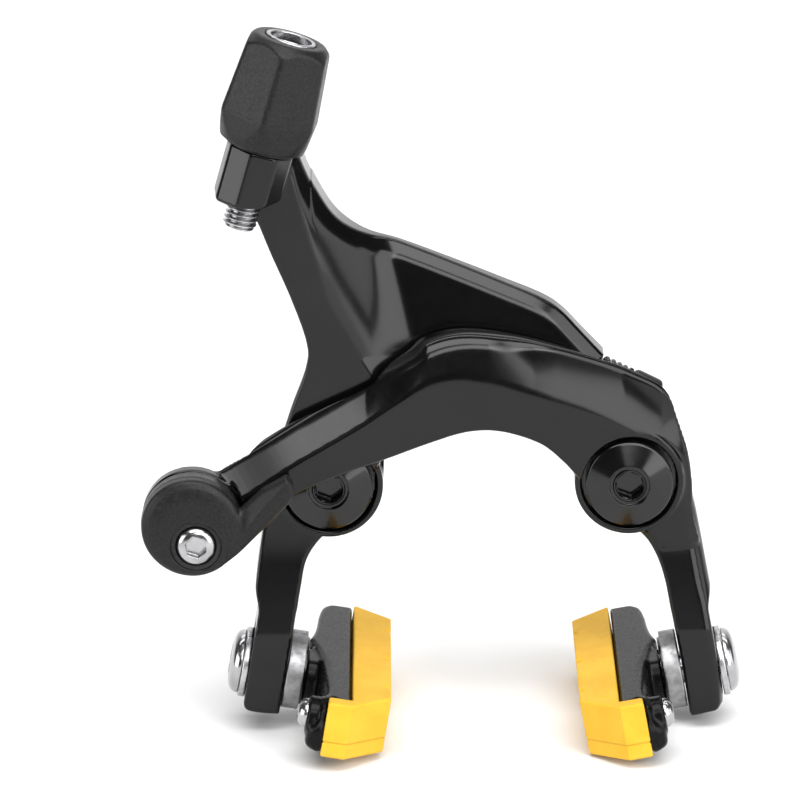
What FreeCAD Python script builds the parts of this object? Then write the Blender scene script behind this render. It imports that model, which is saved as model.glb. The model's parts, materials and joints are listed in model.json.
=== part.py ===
import FreeCAD, Part
import math
import os
import re
from FreeCAD import Placement, Rotation, Vector

# Direct-mount rim brake caliper. Millimetres.
# Origin: midway between the two pivot axes, on the mounting face (y = 0).
# +X right and +Z up as seen from the front, +Y backwards into the frame.

doc = FreeCAD.newDocument("rim_brake_caliper")
sheet = doc.addObject("Spreadsheet::Sheet", "Sizes")

SIZES = {
    # pivots and what clamps them
    "pivot_half_spacing": 27.0,
    "bolt_neck": 2.7,
    "bolt_thread": 3.0,
    "bolt_tip": 12.0,
    "bolt_head": 7.7,
    "bolt_head_front": 18.0,
    "bolt_head_back": 13.9,
    "bolt_socket": 2.9,
    "sleeve_outer": 5.0,
    "sleeve_bore": 3.06,
    "bush_bore": 5.04,
    "bush_outer": 6.0,
    "washer_outer": 8.2,
    # depths behind the front, all counted forwards from the mounting face
    "plate_thickness": 2.5,
    "hub_front": 15.2,
    "hub_floor": 13.2,
    "hub_back": 3.1,
    "foot_front": 16.0,
    "foot_back": 2.0,
    "wing_front": 13.0,
    "wing_back": 5.0,
    "column_front": 16.5,
    "arch_front": 27.2,
    "arch_shoulder": 15.6,
    "arch_back": 13.5,
    "bar_back": 18.7,
    # hubs and springs
    "plate_lug": 9.8,
    "hub_recess": 8.9,
    "spring_inner": 6.9,
    "spring_outer": 9.3,
    "spring_depth": 4.2,
    "spring_coil": 8.1,
    "spring_wire": 0.6,
    # roller that ties the two arms together
    "roller_height": 20.0,
    "roller_radius": 3.0,
    "roller_gap": 0.15,
    "roller_pin": 1.5,
    "full_closing": 14.0,
    # cable adjuster
    "adjuster_lean": 16.3,
    "adjuster_depth": 20.0,
    "screw_radius": 3.0,
    "screw_bore": 1.1,
    "screw_length": 34.6,
    "knob_base": 15.9,
    "knob_top": 35.4,
    "knob_flat": 8.2,
    "cup_radius": 4.5,
    "boss_radius": 5.6,
    "boss_base": 6.0,
    "boss_top": 15.3,
    # release lever and cable anchor
    "disc_radius": 8.9,
    "disc_front": 31.0,
    "disc_back": 24.4,
    "blade_back": 26.9,
    "cam_radius": 6.9,
    "cam_end": 6.4,
    "anchor_offset": 3.3,
    "anchor_head": 3.6,
    "anchor_shank": 2.5,
    # stop screw in the wing's tip
    "stop_shank": 1.9,
    "stop_cap": 3.1,
    "stop_coil": 2.35,
    "stop_wire": 0.42,
    # brake pads
    "pad_tilt": 10.0,
    "pad_depth": 9.0,
    "pad_bolt": 3.0,
    "pad_bolt_head": 5.9,
    "insert_screw": 1.5,
    "insert_screw_head": 2.7,
    "flat_washer": 6.4,
    "convex_washer": 6.2,
    "shoe_bolt_boss": 5.2,
    "shoe_screw_boss": 3.2,
    "pad_washer": 7.2,
    "pad_dome": 9.9,
    "pad_dome_reach": 10.35,
    "shoe_back": 3.6,
    "pad_near": 36.5,
    "pad_far": 18.5,
    "pad_top": 4.5,
    "pad_bottom": 5.9,
    "pad_face": 18.8,
    "pad_base": 11.8,
    "slot_rise": 5.0,
    "slot_drop": 1.0,
}

for row, (alias, value) in enumerate(SIZES.items(), start=1):
    sheet.set("A%d" % row, alias)
    sheet.set("B%d" % row, str(value))
    sheet.setAlias("B%d" % row, alias)
doc.recompute()


def size(alias):
    return float(sheet.get(alias))


BACKWARDS = Rotation(Vector(0, 0, 1), Vector(0, 1, 0))


def expression(value):
    """A cell's name becomes a reference to the sheet; numbers stay numbers."""
    words = value if isinstance(value, str) else repr(float(value))
    return re.sub("[a-z_]+", lambda word: "Sizes." + word.group(), words)


def bind(item, **properties):
    for name, value in properties.items():
        item.setExpression(name.replace("__", "."), expression(value))


def cylinder(name, radius, length, place):
    item = doc.addObject("Part::Cylinder", name)
    bind(item, Radius=radius, Height=length)
    item.Placement = place
    return item


def cut(name, base, *tools):
    item = doc.addObject("Part::Cut", name)
    tool = tools[0]
    if len(tools) > 1:
        tool = doc.addObject("Part::MultiFuse", name + "_tools")
        tool.Shapes = list(tools)
    item.Base = base
    item.Tool = tool
    return item


def fuse(name, *shapes):
    item = doc.addObject("Part::MultiFuse", name)
    item.Shapes = list(shapes)
    return item


def ring(name, outer, inner, length, place):
    """A plain washer, bush or sleeve."""
    return cut(name, cylinder(name + "_outside", outer, length, place),
               cylinder(name + "_hole", inner, length, place))


def solid(name, shape):
    item = doc.addObject("Part::Feature", name)
    item.Shape = shape
    return item


def prism(name, sides, radius, length, place):
    item = doc.addObject("Part::Prism", name)
    item.Polygon = sides
    bind(item, Circumradius=radius, Height=length)
    item.Placement = place
    return item


def chamfered(name, base, amount, *centres_and_radii):
    """Chamfer the round edges of `base` that have the given centre and radius."""
    doc.recompute()
    item = doc.addObject("Part::Chamfer", name)
    item.Base = base
    picked = []
    for number, edge in enumerate(base.Shape.Edges, start=1):
        curve = edge.Curve
        if not isinstance(curve, Part.Circle):
            continue
        for centre, radius in centres_and_radii:
            if curve.Center.distanceToPoint(centre) < 0.01 and abs(curve.Radius - radius) < 0.01:
                picked.append((number, amount, amount))
    item.Edges = picked
    return item


# ---------------------------------------------------------------- sketching

def new_body(name):
    return doc.addObject("PartDesign::Body", name)


def plane(body, role):
    return next(item for item in body.Origin.OriginFeatures if item.Role == role)


def sketch(body, name, role, distance, stretches):
    """A closed outline on a plane of the body, `distance` along the plane's normal.

    A stretch is ("line", p, q…), ("curve", p, q…) or ("arc", p, middle, q), each starting
    where the one before ended, or ("circle", centre, radius).
    """
    item = body.newObject("Sketcher::SketchObject", name)
    item.AttachmentSupport = (plane(body, role), [""])
    item.MapMode = "FlatFace"
    bind(item, AttachmentOffset__Base__z=distance)
    for kind, *points in stretches:
        if kind == "circle":
            centre, radius = points
            item.addGeometry(Part.Circle(Vector(*centre, 0), Vector(0, 0, 1), radius))
            continue
        corners = [Vector(point[0], point[1], 0) for point in points]
        if kind == "curve":
            curve = Part.BSplineCurve()
            curve.interpolate(corners)
            item.addGeometry(curve)
        elif kind == "arc":
            item.addGeometry(Part.Arc(*corners))
        else:
            for start, end in zip(corners, corners[1:]):
                item.addGeometry(Part.LineSegment(start, end))
    return item


def pad(body, name, front, back, stretches):
    """Material with an outline in the front view, between two depths."""
    profile = sketch(body, name + "_outline", "XZ_Plane", front, stretches)
    item = body.newObject("PartDesign::Pad", name)
    item.Profile = profile
    item.Reversed = True
    bind(item, Length="%s - (%s)" % (front, back))
    return item


def pocket(body, name, front, back, stretches):
    """The same for a cut."""
    profile = sketch(body, name + "_outline", "XZ_Plane", front, stretches)
    item = body.newObject("PartDesign::Pocket", name)
    item.Profile = profile
    bind(item, Length="%s - (%s)" % (front, back))
    return item


def plan_pocket(body, name, top, bottom, corners):
    """A cut with an outline in the plan view, between two heights."""
    closed = list(corners) + [corners[0]]
    profile = sketch(body, name + "_outline", "XY_Plane", top, [("line", *closed)])
    item = body.newObject("PartDesign::Pocket", name)
    item.Profile = profile
    bind(item, Length="%s - (%s)" % (top, bottom))
    return item


def around(centre, radius, degrees):
    turn = math.radians(degrees)
    return (centre[0] + radius * math.cos(turn), centre[1] + radius * math.sin(turn))


def front_hole(centre, radius):
    return [("circle", centre, radius)]


# ------------------------------------------------------------ common frames

LEFT = (-size("pivot_half_spacing"), 0.0)
RIGHT = (size("pivot_half_spacing"), 0.0)


def at_depth(point, depth):
    """A frame whose Z runs backwards, `depth` in front of the mounting face."""
    return Placement(Vector(point[0], -depth, point[1]), BACKWARDS)


LEAN = math.radians(size("adjuster_lean"))
ADJUSTER_AXIS = Vector(math.sin(LEAN), 0, math.cos(LEAN))
ADJUSTER_FOOT = Vector(-42.2, -size("adjuster_depth"), 49.5)


def on_adjuster(distance, turn=0.0):
    """A frame on the adjuster's axis, Z pointing up it."""
    rotation = Rotation(Vector(0, 0, 1), ADJUSTER_AXIS) * Rotation(Vector(0, 0, 1), turn)
    return Placement(ADJUSTER_FOOT + ADJUSTER_AXIS * distance, rotation)


DISC = (-51.3, -2.9)
ANCHOR = around(DISC, size("anchor_offset"), -76)

STOP_FOOT = Vector(21.3, -9.0, 19.6)
STOP_TILT = math.radians(27.0)
STOP_AXIS = Vector(math.cos(STOP_TILT), 0, -math.sin(STOP_TILT))


def on_stop(distance):
    """A frame on the stop screw's axis, Z pointing out of the wing's tip."""
    return Placement(STOP_FOOT + STOP_AXIS * distance, Rotation(Vector(0, 0, 1), STOP_AXIS))


# The wall each pad sits against, on the centre line of its bolt.
PAD_SEATS = {"left": Vector(-35.4, -size("pad_depth"), -36.8),
             "right": Vector(36.8, -size("pad_depth"), -37.6)}
INWARDS = {"left": 1, "right": -1}


def pad_frame(side):
    """Local X lies along the pad bolt, Z up the slot in the arm."""
    turn = INWARDS[side] * size("pad_tilt")
    return Placement(PAD_SEATS[side], Rotation(Vector(0, 1, 0), turn))


def on_pad_bolt(side, reach, rise=0.0, depth=0.0):
    """A frame at `reach` towards the rim from the arm's wall, Z pointing towards the rim."""
    way = INWARDS[side]
    local = Placement(Vector(way * reach, depth, rise), Rotation(Vector(0, 0, 1), Vector(way, 0, 0)))
    return pad_frame(side).multiply(local)


def on_insert_screw(side, reach):
    """A frame on the small screw that keeps the insert in its shoe."""
    return on_pad_bolt(side, reach, 0.2, -22.5)


# --------------------------------------------------------------- root parts

def make_back_plate():
    """Arched plate that holds both pivots at their spacing."""
    body = new_body("back_plate")
    lug = size("plate_lug")
    inner_left = around(LEFT, lug, 15)
    inner_right = around(RIGHT, lug, 165)
    outline = [("arc", around(LEFT, lug, 90), around(LEFT, lug, 215), inner_left),
               ("arc", inner_left, (0, 12.0), inner_right),
               ("arc", inner_right, around(RIGHT, lug, 325), around(RIGHT, lug, 90)),
               ("arc", around(RIGHT, lug, 90), (0, 19.5), around(LEFT, lug, 90))]
    pad(body, "plate", "plate_thickness", 0, outline)
    for name, centre in (("left", LEFT), ("right", RIGHT)):
        pocket(body, name + "_bolt_hole", "plate_thickness", 0, front_hole(centre, 3.1))
        tang = around(centre, size("spring_coil"), TANG[name])
        pocket(body, name + "_tang_hole", "plate_thickness", 0.8, front_hole(tang, 0.75))
    return body


TANG = {"left": 200, "right": 340}


def make_pivot_bolt(side, centre):
    name = "pivot_bolt_" + side
    head = cylinder(name + "_head", "bolt_head", "bolt_head_front - bolt_head_back",
                    at_depth(centre, size("bolt_head_front")))
    front = Vector(centre[0], -size("bolt_head_front"), centre[1])
    head = chamfered(name + "_rounded_head", head, 0.9, (front, size("bolt_head")))
    neck = cylinder(name + "_neck", "bolt_neck", "bolt_head_back",
                    at_depth(centre, size("bolt_head_back")))
    stud = cylinder(name + "_stud", "bolt_thread", "bolt_tip", at_depth(centre, 0))
    tip = Vector(centre[0], size("bolt_tip"), centre[1])
    stud = chamfered(name + "_pointed_stud", stud, 0.7, (tip, size("bolt_thread")))
    dish = cylinder(name + "_dish", 3.8, 0.6, at_depth(centre, size("bolt_head_front")))
    socket = prism(name + "_socket", 6, "bolt_socket", 3.2, at_depth(centre, size("bolt_head_front")))
    return cut(name, fuse(name + "_blank", head, neck, stud), dish, socket)


def make_pivot_sleeve(side, centre):
    return ring("pivot_sleeve_" + side, "sleeve_outer", "sleeve_bore",
                "hub_floor - plate_thickness", at_depth(centre, size("hub_floor")))


def make_washer_pair(name, outer, inner, thickness, front):
    """One washer on each pivot."""
    rings = [ring(name + "_" + side, outer, inner, thickness, at_depth(centre, front))
             for side, centre in (("left", LEFT), ("right", RIGHT))]
    item = doc.addObject("Part::Compound", name)
    item.Links = rings
    return item


def make_return_spring(side, centre):
    """Torsion spring in the back of the hub: one end in the plate, one in the arm."""
    wire = size("spring_wire")
    coil = size("spring_coil")
    turns = 2.0
    pitch = 2 * wire + 0.15
    helix = Part.makeHelix(pitch, turns * pitch, coil, 0, side == "right")
    helix.Placement = Placement(Vector(centre[0], -size("hub_back") - 0.75, centre[1]),
                                Rotation(Vector(0, 0, 1), Vector(0, -1, 0)))
    turn = Placement(Vector(centre[0], 0, centre[1]), Rotation())
    spin = Placement(Vector(0, 0, 0), Rotation(Vector(0, 1, 0), -TANG[side]))
    helix.Placement = turn.multiply(spin).multiply(turn.inverse()).multiply(helix.Placement)
    start = helix.Edges[0].valueAt(helix.Edges[0].FirstParameter)
    end = helix.Edges[-1].valueAt(helix.Edges[-1].LastParameter)
    coils = Part.Wire(helix.Edges).makePipeShell([Part.Wire(Part.makeCircle(
        wire, start, helix.Edges[0].tangentAt(helix.Edges[0].FirstParameter)))], True, True)
    back = Part.makeCylinder(wire, -1.0 - start.y, start, Vector(0, 1, 0))
    front = Part.makeCylinder(wire, 2.4, end, Vector(0, -1, 0))
    return solid("return_spring_" + side, coils.fuse([back, front]).removeSplitter())


# ------------------------------------------------------------------ arms

def roller_path(angle):
    """Where the roller's pin stands against the cable arm when both arms have closed by angle."""
    turn = math.radians(angle)
    half = size("pivot_half_spacing")
    height = size("roller_height")
    across = 2 * half * math.cos(turn) - half * math.cos(2 * turn) + height * math.sin(2 * turn)
    up = -2 * half * math.sin(turn) + half * math.sin(2 * turn) + height * math.cos(2 * turn)
    return (across - half, up)


def roller_slot():
    """Outline of the curved slot that the roller runs in."""
    wide = size("roller_radius") + size("roller_gap")
    extra = 0.5
    low, middle, high = (roller_path(angle) for angle in (0, size("full_closing") / 2,
                                                          size("full_closing")))
    circle = Part.Arc(Vector(*low, 0), Vector(*middle, 0), Vector(*high, 0)).toShape().Curve
    centre = (circle.Center.x, circle.Center.y)
    start = math.degrees(math.atan2(low[1] - centre[1], low[0] - centre[0]))
    stop = math.degrees(math.atan2(high[1] - centre[1], high[0] - centre[0]))
    more = math.degrees(extra / circle.Radius)
    start = start + more
    stop = stop - more
    inner = circle.Radius - wide
    outer = circle.Radius + wide
    cap = math.degrees(wide / circle.Radius)
    return [("arc", around(centre, outer, start), around(centre, outer, (start + stop) / 2),
             around(centre, outer, stop)),
            ("arc", around(centre, outer, stop), around(centre, circle.Radius, stop - cap),
             around(centre, inner, stop)),
            ("arc", around(centre, inner, stop), around(centre, inner, (start + stop) / 2),
             around(centre, inner, start)),
            ("arc", around(centre, inner, start), around(centre, circle.Radius, start + cap),
             around(centre, outer, start))]


def cut_hub(body, centre, side):
    """Recess for the bolt's head, bore for the bush and ring-shaped room for the spring."""
    pocket(body, "bolt_recess", "hub_front + 6", "hub_floor", front_hole(centre, size("hub_recess")))
    pocket(body, "bush_bore", "hub_front", "hub_back", front_hole(centre, size("bush_outer")))
    pocket(body, "spring_room", "hub_back + spring_depth", "hub_back",
           front_hole(centre, size("spring_outer")) + front_hole(centre, size("spring_inner")))
    tang = around(centre, size("spring_coil"), TANG[side])
    pocket(body, "tang_hole", "hub_back + spring_depth + 2.4", "hub_back + spring_depth",
           front_hole(tang, 0.75))


def cut_pad_slot(side):
    """Cutters for one foot: the slot that the pad is set up and down in, and both seats."""
    half = size("pad_bolt") + 0.1
    low = -size("slot_drop") - 0.1
    high = size("slot_rise") + 0.1
    way = INWARDS[side]
    frame = pad_frame(side)
    tools = []
    for name, rise in (("low", low), ("high", high)):
        tools.append(cylinder("%s_slot_%s" % (side, name), half, 20, on_pad_bolt(side, -14, rise)))
    box = doc.addObject("Part::Box", side + "_slot_box")
    bind(box, Length=20, Width=2 * half, Height=high - low)
    start = Vector(-14 if way > 0 else -6, -half, low)
    box.Placement = frame.multiply(Placement(start, Rotation()))
    tools.append(box)
    seat = doc.addObject("Part::Box", side + "_seat_cut")
    bind(seat, Length=8, Width=20, Height=22)
    start = Vector(0 if way > 0 else -8, -10, -9)
    seat.Placement = frame.multiply(Placement(start, Rotation()))
    tools.append(seat)
    outside = doc.addObject("Part::Box", side + "_outside_cut")
    bind(outside, Length=8, Width=20, Height=21)
    start = Vector(-14.8 if way > 0 else 6.8, -10, -8.5)
    outside.Placement = frame.multiply(Placement(start, Rotation()))
    tools.append(outside)
    return tools


def make_cable_arm():
    """The arm on the left pivot: cable boss, wing to the right, leg with the left pad."""
    body = new_body("cable_arm_blank")
    wing = [("line", (-32.0, 50.0), (-27.0, 24.0), (-25.0, 12.0), (-19.0, 9.0)),
            ("curve", (-19.0, 9.0), (-14.0, 11.0), (-7.0, 13.2), (0.0, 13.4), (7.0, 11.2),
             (12.0, 10.8)),
            ("line", (12.0, 10.8), (19.5, 16.0), (22.7, 22.4)),
            ("curve", (22.7, 22.4), (18.6, 26.8), (15.1, 30.5), (11.5, 32.9), (4.3, 36.0),
             (-4.6, 39.7), (-13.5, 43.2), (-19.0, 44.9), (-23.0, 47.3), (-26.0, 50.5),
             (-29.3, 56.4)),
            ("line", (-29.3, 56.4), (-32.0, 50.0))]
    pad(body, "wing", "wing_front", "wing_back", wing)
    column = [("curve", (-40.2, 54.0), (-36.6, 44.0), (-33.2, 35.7), (-30.6, 27.4), (-30.7, 22.5),
               (-33.5, 14.8), (-35.2, 6.0)),
              ("line", (-35.2, 6.0), (-19.0, 2.0)),
              ("curve", (-19.0, 2.0), (-17.6, 12.0), (-18.4, 24.0), (-21.5, 36.0), (-25.4, 46.0),
               (-31.5, 58.0)),
              ("line", (-31.5, 58.0), (-40.2, 54.0))]
    pad(body, "column", "column_front", "wing_back", column)
    neck = [("line", (-45.0, 56.6), (-35.2, 53.7), (-30.5, 50.5), (-31.0, 58.2), (-40.0, 61.4),
             (-45.0, 56.6))]
    pad(body, "neck", "adjuster_depth + 3.5", "wing_back + 4", neck)
    leg = [("curve", (-32.0, 12.0), (-36.9, 6.0), (-38.4, -1.0), (-39.8, -11.7), (-40.9, -22.2),
            (-42.0, -32.0), (-42.8, -41.0)),
           ("line", (-42.8, -41.0), (-42.0, -42.2), (-36.9, -43.0)),
           ("curve", (-36.9, -43.0), (-34.4, -32.0), (-32.4, -20.0), (-30.9, -14.0), (-27.0, -9.4),
            (-21.0, -6.2), (-18.0, -1.0), (-17.2, 5.4)),
           ("curve", (-17.2, 5.4), (-20.5, 12.0), (-32.0, 12.0))]
    pad(body, "leg", "hub_front", "hub_back", leg)
    foot = [("line", (-42.9, -28.0), (-43.4, -41.2), (-42.4, -42.6), (-36.4, -43.4), (-33.0, -28.0),
             (-42.9, -28.0))]
    pad(body, "foot", "foot_front", "foot_back", foot)
    cut_hub(body, LEFT, "left")
    pocket(body, "roller_slot", "wing_front + 1", "wing_back - 1", roller_slot())
    boss = cylinder("cable_boss", "boss_radius", "boss_top - boss_base", on_adjuster(size("boss_base")))
    blank = fuse("cable_arm_with_boss", body, boss)
    screw_hole = cylinder("adjuster_hole", "screw_radius + 0.06", 30, on_adjuster(-6))
    stop_hole = cylinder("stop_hole", "stop_shank + 0.05", 12, on_stop(-9))
    return cut("cable_arm", blank, screw_hole, stop_hole, *cut_pad_slot("left"))


def face(across):
    """Depth of the arm's front face, which comes forward in one plane from hub to release end."""
    slope = (size("arch_front") - size("arch_shoulder")) / (RIGHT[0] - DISC[0])
    return -size("arch_shoulder") - slope * (RIGHT[0] - across)


def make_anchor_arm():
    """The arm on the right pivot: arch and bar across the front, leg with the right pad."""
    body = new_body("anchor_arm_blank")
    recess = size("hub_recess") + 0.4
    right_end = around(RIGHT, recess, 12)
    left_end = around(RIGHT, recess, 170)
    outline = [("curve", (-50.0, -7.5), (-42.0, -3.6), (-33.9, 0.8), (-24.7, 4.4), (-17.4, 6.6),
                (-8.7, 9.4), (-2.0, 11.1), (4.0, 10.9), (10.8, 8.4), (15.0, 4.8), left_end),
               ("arc", left_end, around(RIGHT, recess, 90), right_end),
               ("line", right_end, (35.0, 14.6)),
               ("curve", (35.0, 14.6), (33.4, 17.6), (29.0, 20.4), (21.6, 23.6), (9.1, 27.4),
                (-2.0, 29.0), (-9.0, 27.4), (-12.0, 24.4), (-18.0, 22.6), (-21.1, 20.8),
                (-33.5, 13.2), (-43.9, 6.6), (-50.0, 3.0)),
               ("line", (-50.0, 3.0), (-50.0, -7.5))]
    pad(body, "arch", "arch_front", "arch_back", outline)
    plan_pocket(body, "sloping_front", 40, -20, [(-70, face(-70)), (27, face(27)), (60, face(27)),
                                                 (60, -60), (-70, -60)])
    behind = -size("bar_back")
    plan_pocket(body, "bar_relief", 40, -20, [(-70, -21.2), (-41, -21.2), (-38.5, behind),
                                              (-18.5, behind), (-10, -13.0), (-10, 5), (-70, 5)])
    leg = [("curve", (17.2, 4.6), (18.0, 0.4), (20.6, -5.0), (27.6, -9.2), (31.8, -13.8),
            (33.9, -21.0), (35.9, -32.0), (38.0, -44.4)),
           ("line", (38.0, -44.4), (43.0, -43.6), (44.2, -42.6)),
           ("curve", (44.2, -42.6), (44.2, -36.0), (43.2, -28.0), (41.3, -17.0), (39.5, -5.4),
            (38.0, 1.0), (36.6, 6.0)),
           ("arc", (36.6, 6.0), around(RIGHT, 11.0, 85), (17.2, 4.6))]
    pad(body, "leg", "hub_front", "hub_back", leg)
    foot = [("line", (43.8, -28.6), (44.4, -36.0), (44.2, -42.6), (43.0, -43.6), (38.0, -44.4),
             (34.9, -28.6), (43.8, -28.6))]
    pad(body, "foot", "foot_front", "foot_back", foot)
    pad(body, "release_end", "disc_back - 0.2", 21.2, front_hole(DISC, size("disc_radius") - 0.2))
    pocket(body, "cover_room", "arch_front + 1", "disc_back - 0.2",
           front_hole(DISC, size("disc_radius") + 0.5))
    cut_hub(body, RIGHT, "right")
    pocket(body, "cam_bore", "arch_front + 1", 20, front_hole(DISC, size("cam_radius") + 0.05))
    pin_hole = cylinder("roller_pin_hole", "roller_pin", 8, at_depth((0, size("roller_height")), 19))
    return cut("anchor_arm", body, pin_hole, *cut_pad_slot("right"))


def make_bush(arm, centre):
    return ring(arm + "_bush", "bush_outer", "bush_bore", "hub_floor - hub_back",
                at_depth(centre, size("hub_floor")))


def make_roller_pin():
    centre = (0, size("roller_height"))
    pin = cylinder("roller_pin_shank", "roller_pin", 14.2, at_depth(centre, 19))
    head = cylinder("roller_pin_head", 2.4, 0.8, at_depth(centre, 4.8))
    return fuse("roller_pin", pin, head)


def make_roller():
    centre = (0, size("roller_height"))
    return ring("sync_roller", "roller_radius", "roller_pin + 0.05", "wing_front - wing_back - 0.4",
                at_depth(centre, size("wing_front") - 0.1))


# --------------------------------------------------------------- adjuster

def make_barrel_screw():
    """Hollow screw that carries the end of the cable's housing."""
    shank = cylinder("barrel_shank", "screw_radius", "screw_length - 3.4", on_adjuster(0))
    cup = cylinder("barrel_cup", "cup_radius", 4.4, on_adjuster(size("screw_length") - 3.4))
    bore = cylinder("barrel_bore", "screw_bore", 60, on_adjuster(-1))
    seat = cylinder("housing_seat", 2.6, 12, on_adjuster(size("screw_length") - 5.0))
    return cut("barrel_screw", fuse("barrel_blank", shank, cup), bore, seat)


def make_adjuster_knob():
    """Six-sided moulded knob, turned so that one corner nearly faces the front."""
    length = size("knob_top") - size("knob_base")
    body = new_body("knob_blank")
    flat = size("knob_flat")
    corner = flat / math.cos(math.radians(30))
    corners = [around((0, 0), corner, 60 * step) for step in range(7)]
    profile = sketch(body, "knob_section", "XY_Plane", 0, [("line", *corners)])
    block = body.newObject("PartDesign::Pad", "knob_block")
    block.Profile = profile
    bind(block, Length="knob_top - knob_base")
    doc.recompute()
    upright = ["Edge%d" % number for number, edge in enumerate(block.Shape.Edges, start=1)
               if abs(edge.tangentAt(edge.FirstParameter).z) > 0.9]
    rounding = body.newObject("PartDesign::Fillet", "knob_corners")
    rounding.Base = (block, upright)
    rounding.Radius = 1.5
    doc.recompute()
    ends = ["Edge%d" % number for number, edge in enumerate(rounding.Shape.Edges, start=1)
            if abs(edge.CenterOfMass.z - length) < 0.01 or abs(edge.CenterOfMass.z) < 0.01]
    edges = body.newObject("PartDesign::Chamfer", "knob_ends")
    edges.Base = (rounding, ends)
    edges.Size = 1.2
    body.Placement = on_adjuster(size("knob_base"), -96)
    bore = cylinder("knob_bore", "screw_radius + 1.2", 40, on_adjuster(10))
    cup_room = cylinder("knob_cup_room", "cup_radius + 0.1", 12, on_adjuster(size("knob_top") - 4.4))
    return cut("adjuster_knob", body, bore, cup_room)


def make_adjuster_nut():
    """Threaded insert moulded into the knob."""
    return ring("adjuster_nut", "screw_radius + 1.2", "screw_radius + 0.06", 9.0,
                on_adjuster(size("knob_base") + 0.2))


def make_adjuster_washer():
    return ring("adjuster_washer", 6.4, "screw_radius + 0.1", 0.4, on_adjuster(size("boss_top")))


# ------------------------------------------------------------ release lever

def make_release_lever():
    """Round cover with a short lever, which turns to slacken the cable."""
    body = new_body("release_lever")
    radius = size("disc_radius")
    upper = around(DISC, radius, 18)
    lower = around(DISC, radius, -48)
    outline = [("arc", upper, around(DISC, radius, 165), lower),
               ("line", lower, (-39.8, -4.5), (-33.0, 1.6)),
               ("arc", (-33.0, 1.6), (-32.6, 4.2), (-33.9, 6.2)),
               ("line", (-33.9, 6.2), upper)]
    pad(body, "blade", "disc_front", "blade_back", outline)
    pad(body, "cover", "blade_back", "disc_back", front_hole(DISC, radius))
    pad(body, "cam", "disc_back", 21.0, front_hole(DISC, size("cam_radius")))
    pad(body, "cam_end", 21.0, 20.2, front_hole(DISC, size("cam_end")))
    pocket(body, "bolt_hole", "disc_front", 20.0, front_hole(ANCHOR, size("anchor_shank") + 0.05))
    pocket(body, "head_recess", "disc_front", 29.4, front_hole(ANCHOR, 4.5))
    return body


def make_anchor_bolt():
    head = cylinder("anchor_head_blank", "anchor_head", 2.3, at_depth(ANCHOR, 31.7))
    front = Vector(ANCHOR[0], -31.7, ANCHOR[1])
    head = chamfered("anchor_head_edge", head, 0.6, (front, size("anchor_head")))
    shank = cylinder("anchor_shank_blank", "anchor_shank", 14.6, at_depth(ANCHOR, 29.4))
    socket = prism("anchor_socket", 6, 2.3, 1.9, at_depth(ANCHOR, 31.7))
    return cut("anchor_bolt", fuse("anchor_blank", head, shank), socket)


def make_release_clip():
    return ring("release_clip", 8.3, "cam_end + 0.05", 0.7, at_depth(DISC, 21.0))


def make_cable_clamp():
    """Plate that pinches the cable against the cam's end."""
    box = doc.addObject("Part::Box", "clamp_block")
    bind(box, Length=8.4, Width=1.5, Height=8.4)
    box.Placement = Placement(Vector(ANCHOR[0] - 4.2, -20.1, ANCHOR[1] - 4.2), Rotation())
    hole = cylinder("clamp_hole", "anchor_shank + 0.05", 4, at_depth(ANCHOR, 21))
    return cut("cable_clamp", box, hole)


def make_clamp_nut():
    blank = prism("clamp_nut_blank", 6, 4.4, 3.2, at_depth(ANCHOR, 18.5))
    hole = cylinder("clamp_nut_hole", "anchor_shank", 5, at_depth(ANCHOR, 19))
    return cut("clamp_nut", blank, hole)


def make_bolt_gasket():
    return ring("anchor_gasket", 4.45, "anchor_head + 0.1", 0.9, at_depth(ANCHOR, 30.4))


# --------------------------------------------------------------- stop screw

def make_stop_screw():
    shank = cylinder("stop_shank_blank", "stop_shank", 17.5, on_stop(-8))
    head = cylinder("stop_head_blank", 2.5, 2.0, on_stop(9.0))
    socket = prism("stop_socket", 6, 1.1, 1.4, on_stop(9.6))
    return cut("stop_screw", fuse("stop_blank", shank, head), socket)


def make_stop_cap():
    outside = cylinder("stop_cap_outside", "stop_cap", 5.6, on_stop(6.6))
    end = STOP_FOOT + STOP_AXIS * 12.2
    outside = chamfered("stop_cap_rounded", outside, 1.0, (end, size("stop_cap")))
    inside = cylinder("stop_cap_inside", 2.5, 2.0, on_stop(9.0))
    hole = cylinder("stop_cap_hole", "stop_shank", 4, on_stop(6))
    key_hole = cylinder("stop_cap_key_hole", 1.4, 4, on_stop(10))
    return cut("stop_screw_cap", outside, inside, hole, key_hole)


def make_stop_spring():
    """Coil spring under the cap that keeps the screw from turning by itself."""
    coils = 4.5
    length = 5.4
    wire = size("stop_wire")
    helix = Part.makeHelix(length / coils, length, size("stop_coil") + 0.1)
    start = helix.Edges[0].valueAt(helix.Edges[0].FirstParameter)
    way = helix.Edges[0].tangentAt(helix.Edges[0].FirstParameter)
    section = Part.Wire(Part.makeCircle(wire, start, way))
    spring = Part.Wire(helix.Edges).makePipeShell([section], True, True)
    spring.Placement = on_stop(wire + 0.15)
    return solid("stop_screw_spring", spring)


# -------------------------------------------------------------------- pads

def make_pad_bolt(side):
    name = "pad_bolt_" + side
    head = cylinder(name + "_head", "pad_bolt_head", 2.4, on_pad_bolt(side, -10.5))
    end = on_pad_bolt(side, -10.5).Base
    head = chamfered(name + "_dome", head, 0.9, (end, size("pad_bolt_head")))
    shank = cylinder(name + "_shank", "pad_bolt", 17.6, on_pad_bolt(side, -8.1))
    socket = prism(name + "_socket", 6, 2.9, 1.8, on_pad_bolt(side, -10.5))
    return cut(name, fuse(name + "_blank", head, shank), socket)


def make_flat_washer(side):
    return ring("flat_washer_" + side, "flat_washer", "pad_bolt + 0.05", 1.2, on_pad_bolt(side, -8.05))


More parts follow.
